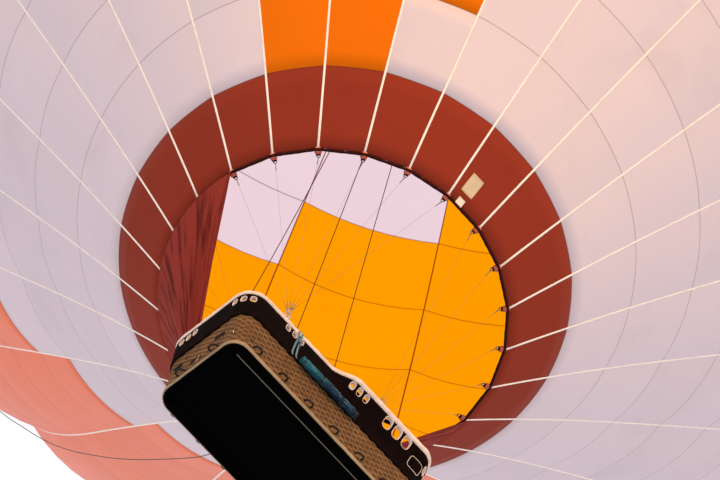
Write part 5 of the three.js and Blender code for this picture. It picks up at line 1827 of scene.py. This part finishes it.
block = Batch().add(block_at(FRAME_MIDDLE, BLOCK_HALF, 0.006))
fittings = Batch()
for sx in (-1, 1):
    for sy in (-1, 1):
        for inset in BOLT_INSETS:
            bolt = FRAME_MIDDLE + Vector((sx * (BLOCK_HALF.x - inset), sy * BLOCK_HALF.y, 0))
            block.tube(steps_along(bolt, Vector((0, sy, 0)), -0.001, 0.006), 0.0075, 6, group=1)
    pin = steps_along(FRAME_MIDDLE, Vector((0, sx, 0)), BLOCK_HALF.y - 0.002, GIMBAL_INNER - 0.0003)
    block.tube(pin, PIN_R, 14, group=1)
    stem = FRAME_MIDDLE + Vector((sx * CAN_X, 0, -BLOCK_HALF.z))
    fittings.tube([stem, stem - raised(0.05)], 0.012, 12)
    lever = [stem - raised(0.045), stem + Vector((0, -0.05, -0.055)), stem + Vector((0, -0.11, -0.05))]
    fittings.tube(smooth_path(lever), 0.0065, 10, group=1)
    inlet = stem + Vector((sx * 0.07, 0.03, 0))
    fittings.tube(steps_along(inlet, raised(-1), 0, 0.03, 0.034), [0.01, 0.013, 0.009], 12, group=2)
    gauge = stem + Vector((0, -0.103, 0.05))
    fittings.tube(steps_along(gauge, Vector((0, -1, 0)), 0, 0.012, 0.014), [0.026, 0.028, 0.024], 24, group=2)
placed(block.made("valve_block_body", False), "burner", "dark_steel", [dark_metal, steel], "burner_block")
red_handle = hide_paint("red_lever_sleeve", (0.5, 0.03, 0.02), (0.35, 0.02, 0.015))
placed(fittings.made("burner_valve_fittings"), "burner", "dark_steel", [steel, red_handle, brass])


def coil(centre, reach, foot, steps):
    """A tube's path that climbs round a can."""
    return [centre + spoke(2 * math.pi * step / COIL_TURN, reach, foot + COIL_RISE * step / COIL_STEPS)
            for step in range(steps + 1)]


coil_steel = metal_paint("heat_stained_coil", (0.50, 0.46, 0.42), 0.4, (0.30, 0.19, 0.12))
for side, sx in (("left", -1), ("right", 1)):
    centre = Vector((sx * CAN_X, 0, CAN_FOOT))
    can = Batch().add(lathed(CAN_PROFILE, centre))
    can.tube(coil(centre, 0.1145, 0.022, COIL_STEPS), 0.0052, 8)
    can.tube(coil(centre, 0.0935, 0.052, COIL_STEPS - 2 * COIL_TURN), 0.0052, 6)
    can.tube(round_path(centre + raised(0.085), JET_RING_R, 36), 0.007, 8, group=1, closed=True)
    for angle in turns(JETS):
        jet = steps_along(centre + spoke(angle, JET_RING_R, 0.09), raised(1), 0, 0.010, 0.016)
        can.tube(jet, [0.004, 0.004, 0.0022], 8, group=1)
    for angle in turns(3):
        can.tube([centre + raised(0.05), centre + spoke(angle, 0.06, 0.082)], 0.005, 8, group=1)
    pilot = steps_along(centre, raised(1), 0.03, 0.07, 0.072, 0.10)
    can.tube(pilot, [0.012, 0.012, 0.018, 0.016], 14, group=1)
    placed(can.made(f"coil_can_{side}"), "burner", "coil", [coil_steel, brass], f"burner_can_{side}")

# Crown ring. Forged aluminium ring that every load tape is sewn round, high over the parachute;
# each tape's end is folded over it and doubled underneath.
WEB_WIDTH, WEB_THICK = 0.034, 0.003
WEB_FOLD = ((-0.014, -0.004), (-0.013, 0.012), (0, 0.0155), (0.014, 0.010))
WEB_STEPS = 12
RING_Z = MOUTH_Z + CROWN_Z + CROWN_RISE

crown_ring = Batch().tube(round_path(raised(RING_Z), CROWN_RING_R, 72), 0.0125, 12, closed=True)
placed(crown_ring.made("crown_metal_ring"), "root", "steel", brushed, "crown_ring")
crown_webs = Batch()
for k in range(GORES):
    out = tape_ways(k)[0]
    path, outward = [], []
    for reach, lift in WEB_FOLD:
        path.append(out * (CROWN_RING_R + reach) + raised(RING_Z + lift))
        outward.append((out * reach + raised(lift)).normalized())
    for step in range(1, WEB_STEPS + 1):
        r = CROWN_RING_R + 0.014 + (CROWN_TAPE_END - CROWN_RING_R - 0.012) * step / WEB_STEPS
        sag = 0.002 + 0.006 * math.sin(math.pi * step / WEB_STEPS)
        path.append(out * r + raised(MOUTH_Z + crown_tape_height(r) - sag))
        outward.append(raised(1))
    crown_webs.add(ribbon(path, outward, WEB_WIDTH, WEB_THICK))
    crown_webs.add(ribbon([place - raised(0.006) for place in path[3:9]], raised(-1), WEB_WIDTH, WEB_THICK))
placed(crown_webs.made("crown_webbing"), "root", "tape", tape_paint, "crown_ring")

# Parachute valve. A round panel of white ripstop with 24 gores, held up against the crown's edge by
# the hot air; shroud lines gather to one pull line.
VALVE_LOW, VALVE_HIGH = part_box("parachute_valve")
VALVE_R = VALVE_HIGH.x - 0.004
VALVE_EDGE = VALVE_LOW.z + 0.01
VALVE_RINGS = 22
VALVE_STEPS = 8
VALVE_ROUND = GORES * VALVE_STEPS
VALVE_CLOTH = 0.006
SHROUD_DROP = 2.2


def valve_point(ring, step, side):
    """A corner of the valve: gores swell between its radial tapes, and its edge flutters a little."""
    share = max(ring / VALVE_RINGS, 0.004)
    within = (step / VALVE_STEPS) % 1
    between = 4 * within * (1 - within)
    puffed = -0.012 * share * (1 - between) * (1 - share ** 4)
    flutter = 0.0012 * share ** 6 * math.sin(3.1 * step)
    height = VALVE_EDGE + (VALVE_HIGH.z - VALVE_EDGE) * (1 - share * share) + puffed + flutter - 0.002
    angle = 2 * math.pi * step / VALVE_ROUND + tape_angle(0)
    place = spoke(angle, VALVE_R * share * (1 - 0.0043 * between), height - VALVE_CLOTH * side)
    return place, (step / VALVE_STEPS, share * 3)


def on_valve(ring, step):
    return ring < VALVE_RINGS


vertices, faces, uvs, groups, _, known = shell(VALVE_RINGS, VALVE_ROUND, on_valve, valve_point, "lines")
faces.append([known[0, step, 0] for step in range(VALVE_ROUND)])
faces.append([known[0, step, 1] for step in reversed(range(VALVE_ROUND))])
groups += [0, 1]
valve = mesh_object("parachute_cloth", vertices, faces, uvs, True, groups)
placed(valve, "parachute", "white_cloth", [white_outside, white_inside], "parachute_valve")
shrouds = Batch()
gather = raised(VALVE_EDGE - SHROUD_DROP)
for k in range(0, GORES, 2):
    edge = tape_ways(k)[0] * VALVE_R * 0.985 + raised(VALVE_EDGE - 0.004)
    shrouds.tube([edge, edge.lerp(gather, 0.5) - raised(0.02), gather], 0.0022, 5)
toggle = steps_along(gather, raised(1), 0.02, 0.01, -0.01, -0.05)
shrouds.tube(toggle, [0.004, 0.012, 0.012, 0.004], 8)
cord_paint = rope_paint("dark_red_cord", (0.10, 0.03, 0.025), (0.05, 0.015, 0.012), 200)
placed(shrouds.made("parachute_shroud_lines"), "parachute", "rope", cord_paint)

# Inner lines. Taut vent and temperature lines of dark red cord that run up beside the cloth's
# inner face.
CONTROL_R = 0.008
INNER_LINES = ((21.4, 20.9), (20.8, 20.7), (20.38, 20.5))
INNER_LOW, INNER_HIGH = 13.0, 28.6
INNER_DEPTH = 0.07
INNER_STEPS = 40

inner = Batch()
for low_k, high_k in INNER_LINES:
    shares = [step / INNER_STEPS for step in range(INNER_STEPS + 1)]
    tapes_passed = [low_k + (high_k - low_k) * share for share in shares]
    arcs = [INNER_LOW + (INNER_HIGH - INNER_LOW) * share for share in shares]
    inner.tube([on_envelope(k, arc, INNER_DEPTH) for k, arc in zip(tapes_passed, arcs)], CONTROL_R, 6)
placed(inner.made("inner_vent_lines"), "root", "rope", cord_paint)

# Floor, light and world. A pale floor at the camera's level, a pale sky, and one large soft sun.
FLOOR_Z = -59.3
FLOOR_R = 160
FLOOR_SIDES = 96
SUN_STRENGTH = 2.6
SUN_FROM = Vector((-0.36, -0.92, 0.15))
SUN_ANGLE = math.radians(70)
SUN_COLOUR = (1.0, 0.5, 0.1)
COOL_SKY = (1.0, 1.0, 1.04)
WARM_SKY = (0.92, 0.885, 0.81)

floor_paint = Paint("pale_floor", Roughness=0.9)
cloud = floor_paint.speckle(floor_paint.place(), 0.02)
floor_paint.wire(floor_paint.mix(cloud, shade((0.78, 0.77, 0.79)), shade((0.84, 0.83, 0.84))))
disc = [spoke(angle, FLOOR_R, FLOOR_Z) for angle in turns(FLOOR_SIDES)]
floor = mesh_object("floor", disc, [tuple(range(FLOOR_SIDES))], None, False)
floor.data.materials.append(floor_paint.material)
sun_data = bpy.data.lights.new("soft_sun", "SUN")
sun_data.energy = SUN_STRENGTH
sun_data.angle = SUN_ANGLE
sun_data.color = SUN_COLOUR
sun = new_object("soft_sun", sun_data)
sun.rotation_euler = SUN_FROM.to_track_quat("Z", "Y").to_euler()
world = bpy.data.worlds.new("studio")
world.use_nodes = True
sky = Paint.__new__(Paint)
sky.tree = world.node_tree
looking = sky.node("ShaderNodeTexCoord", {})["Generated"]
facing = {0: looking, 1: SUN_FROM.normalized()}
toward_sun = sky.node("ShaderNodeVectorMath", facing, operation="DOT_PRODUCT")["Value"]
glow = sky.mix(sky.ramp(toward_sun, 0.1, 0.9), shade(COOL_SKY), shade(WARM_SKY))
background = world.node_tree.nodes["Background"].inputs
sky.tree.links.new(glow, background["Color"])
background["Strength"].default_value = 1.0
bpy.context.scene.world = world
bpy.context.scene.view_settings.view_transform = "Standard"

# Brings the scene up to date.
bpy.context.view_layer.update()
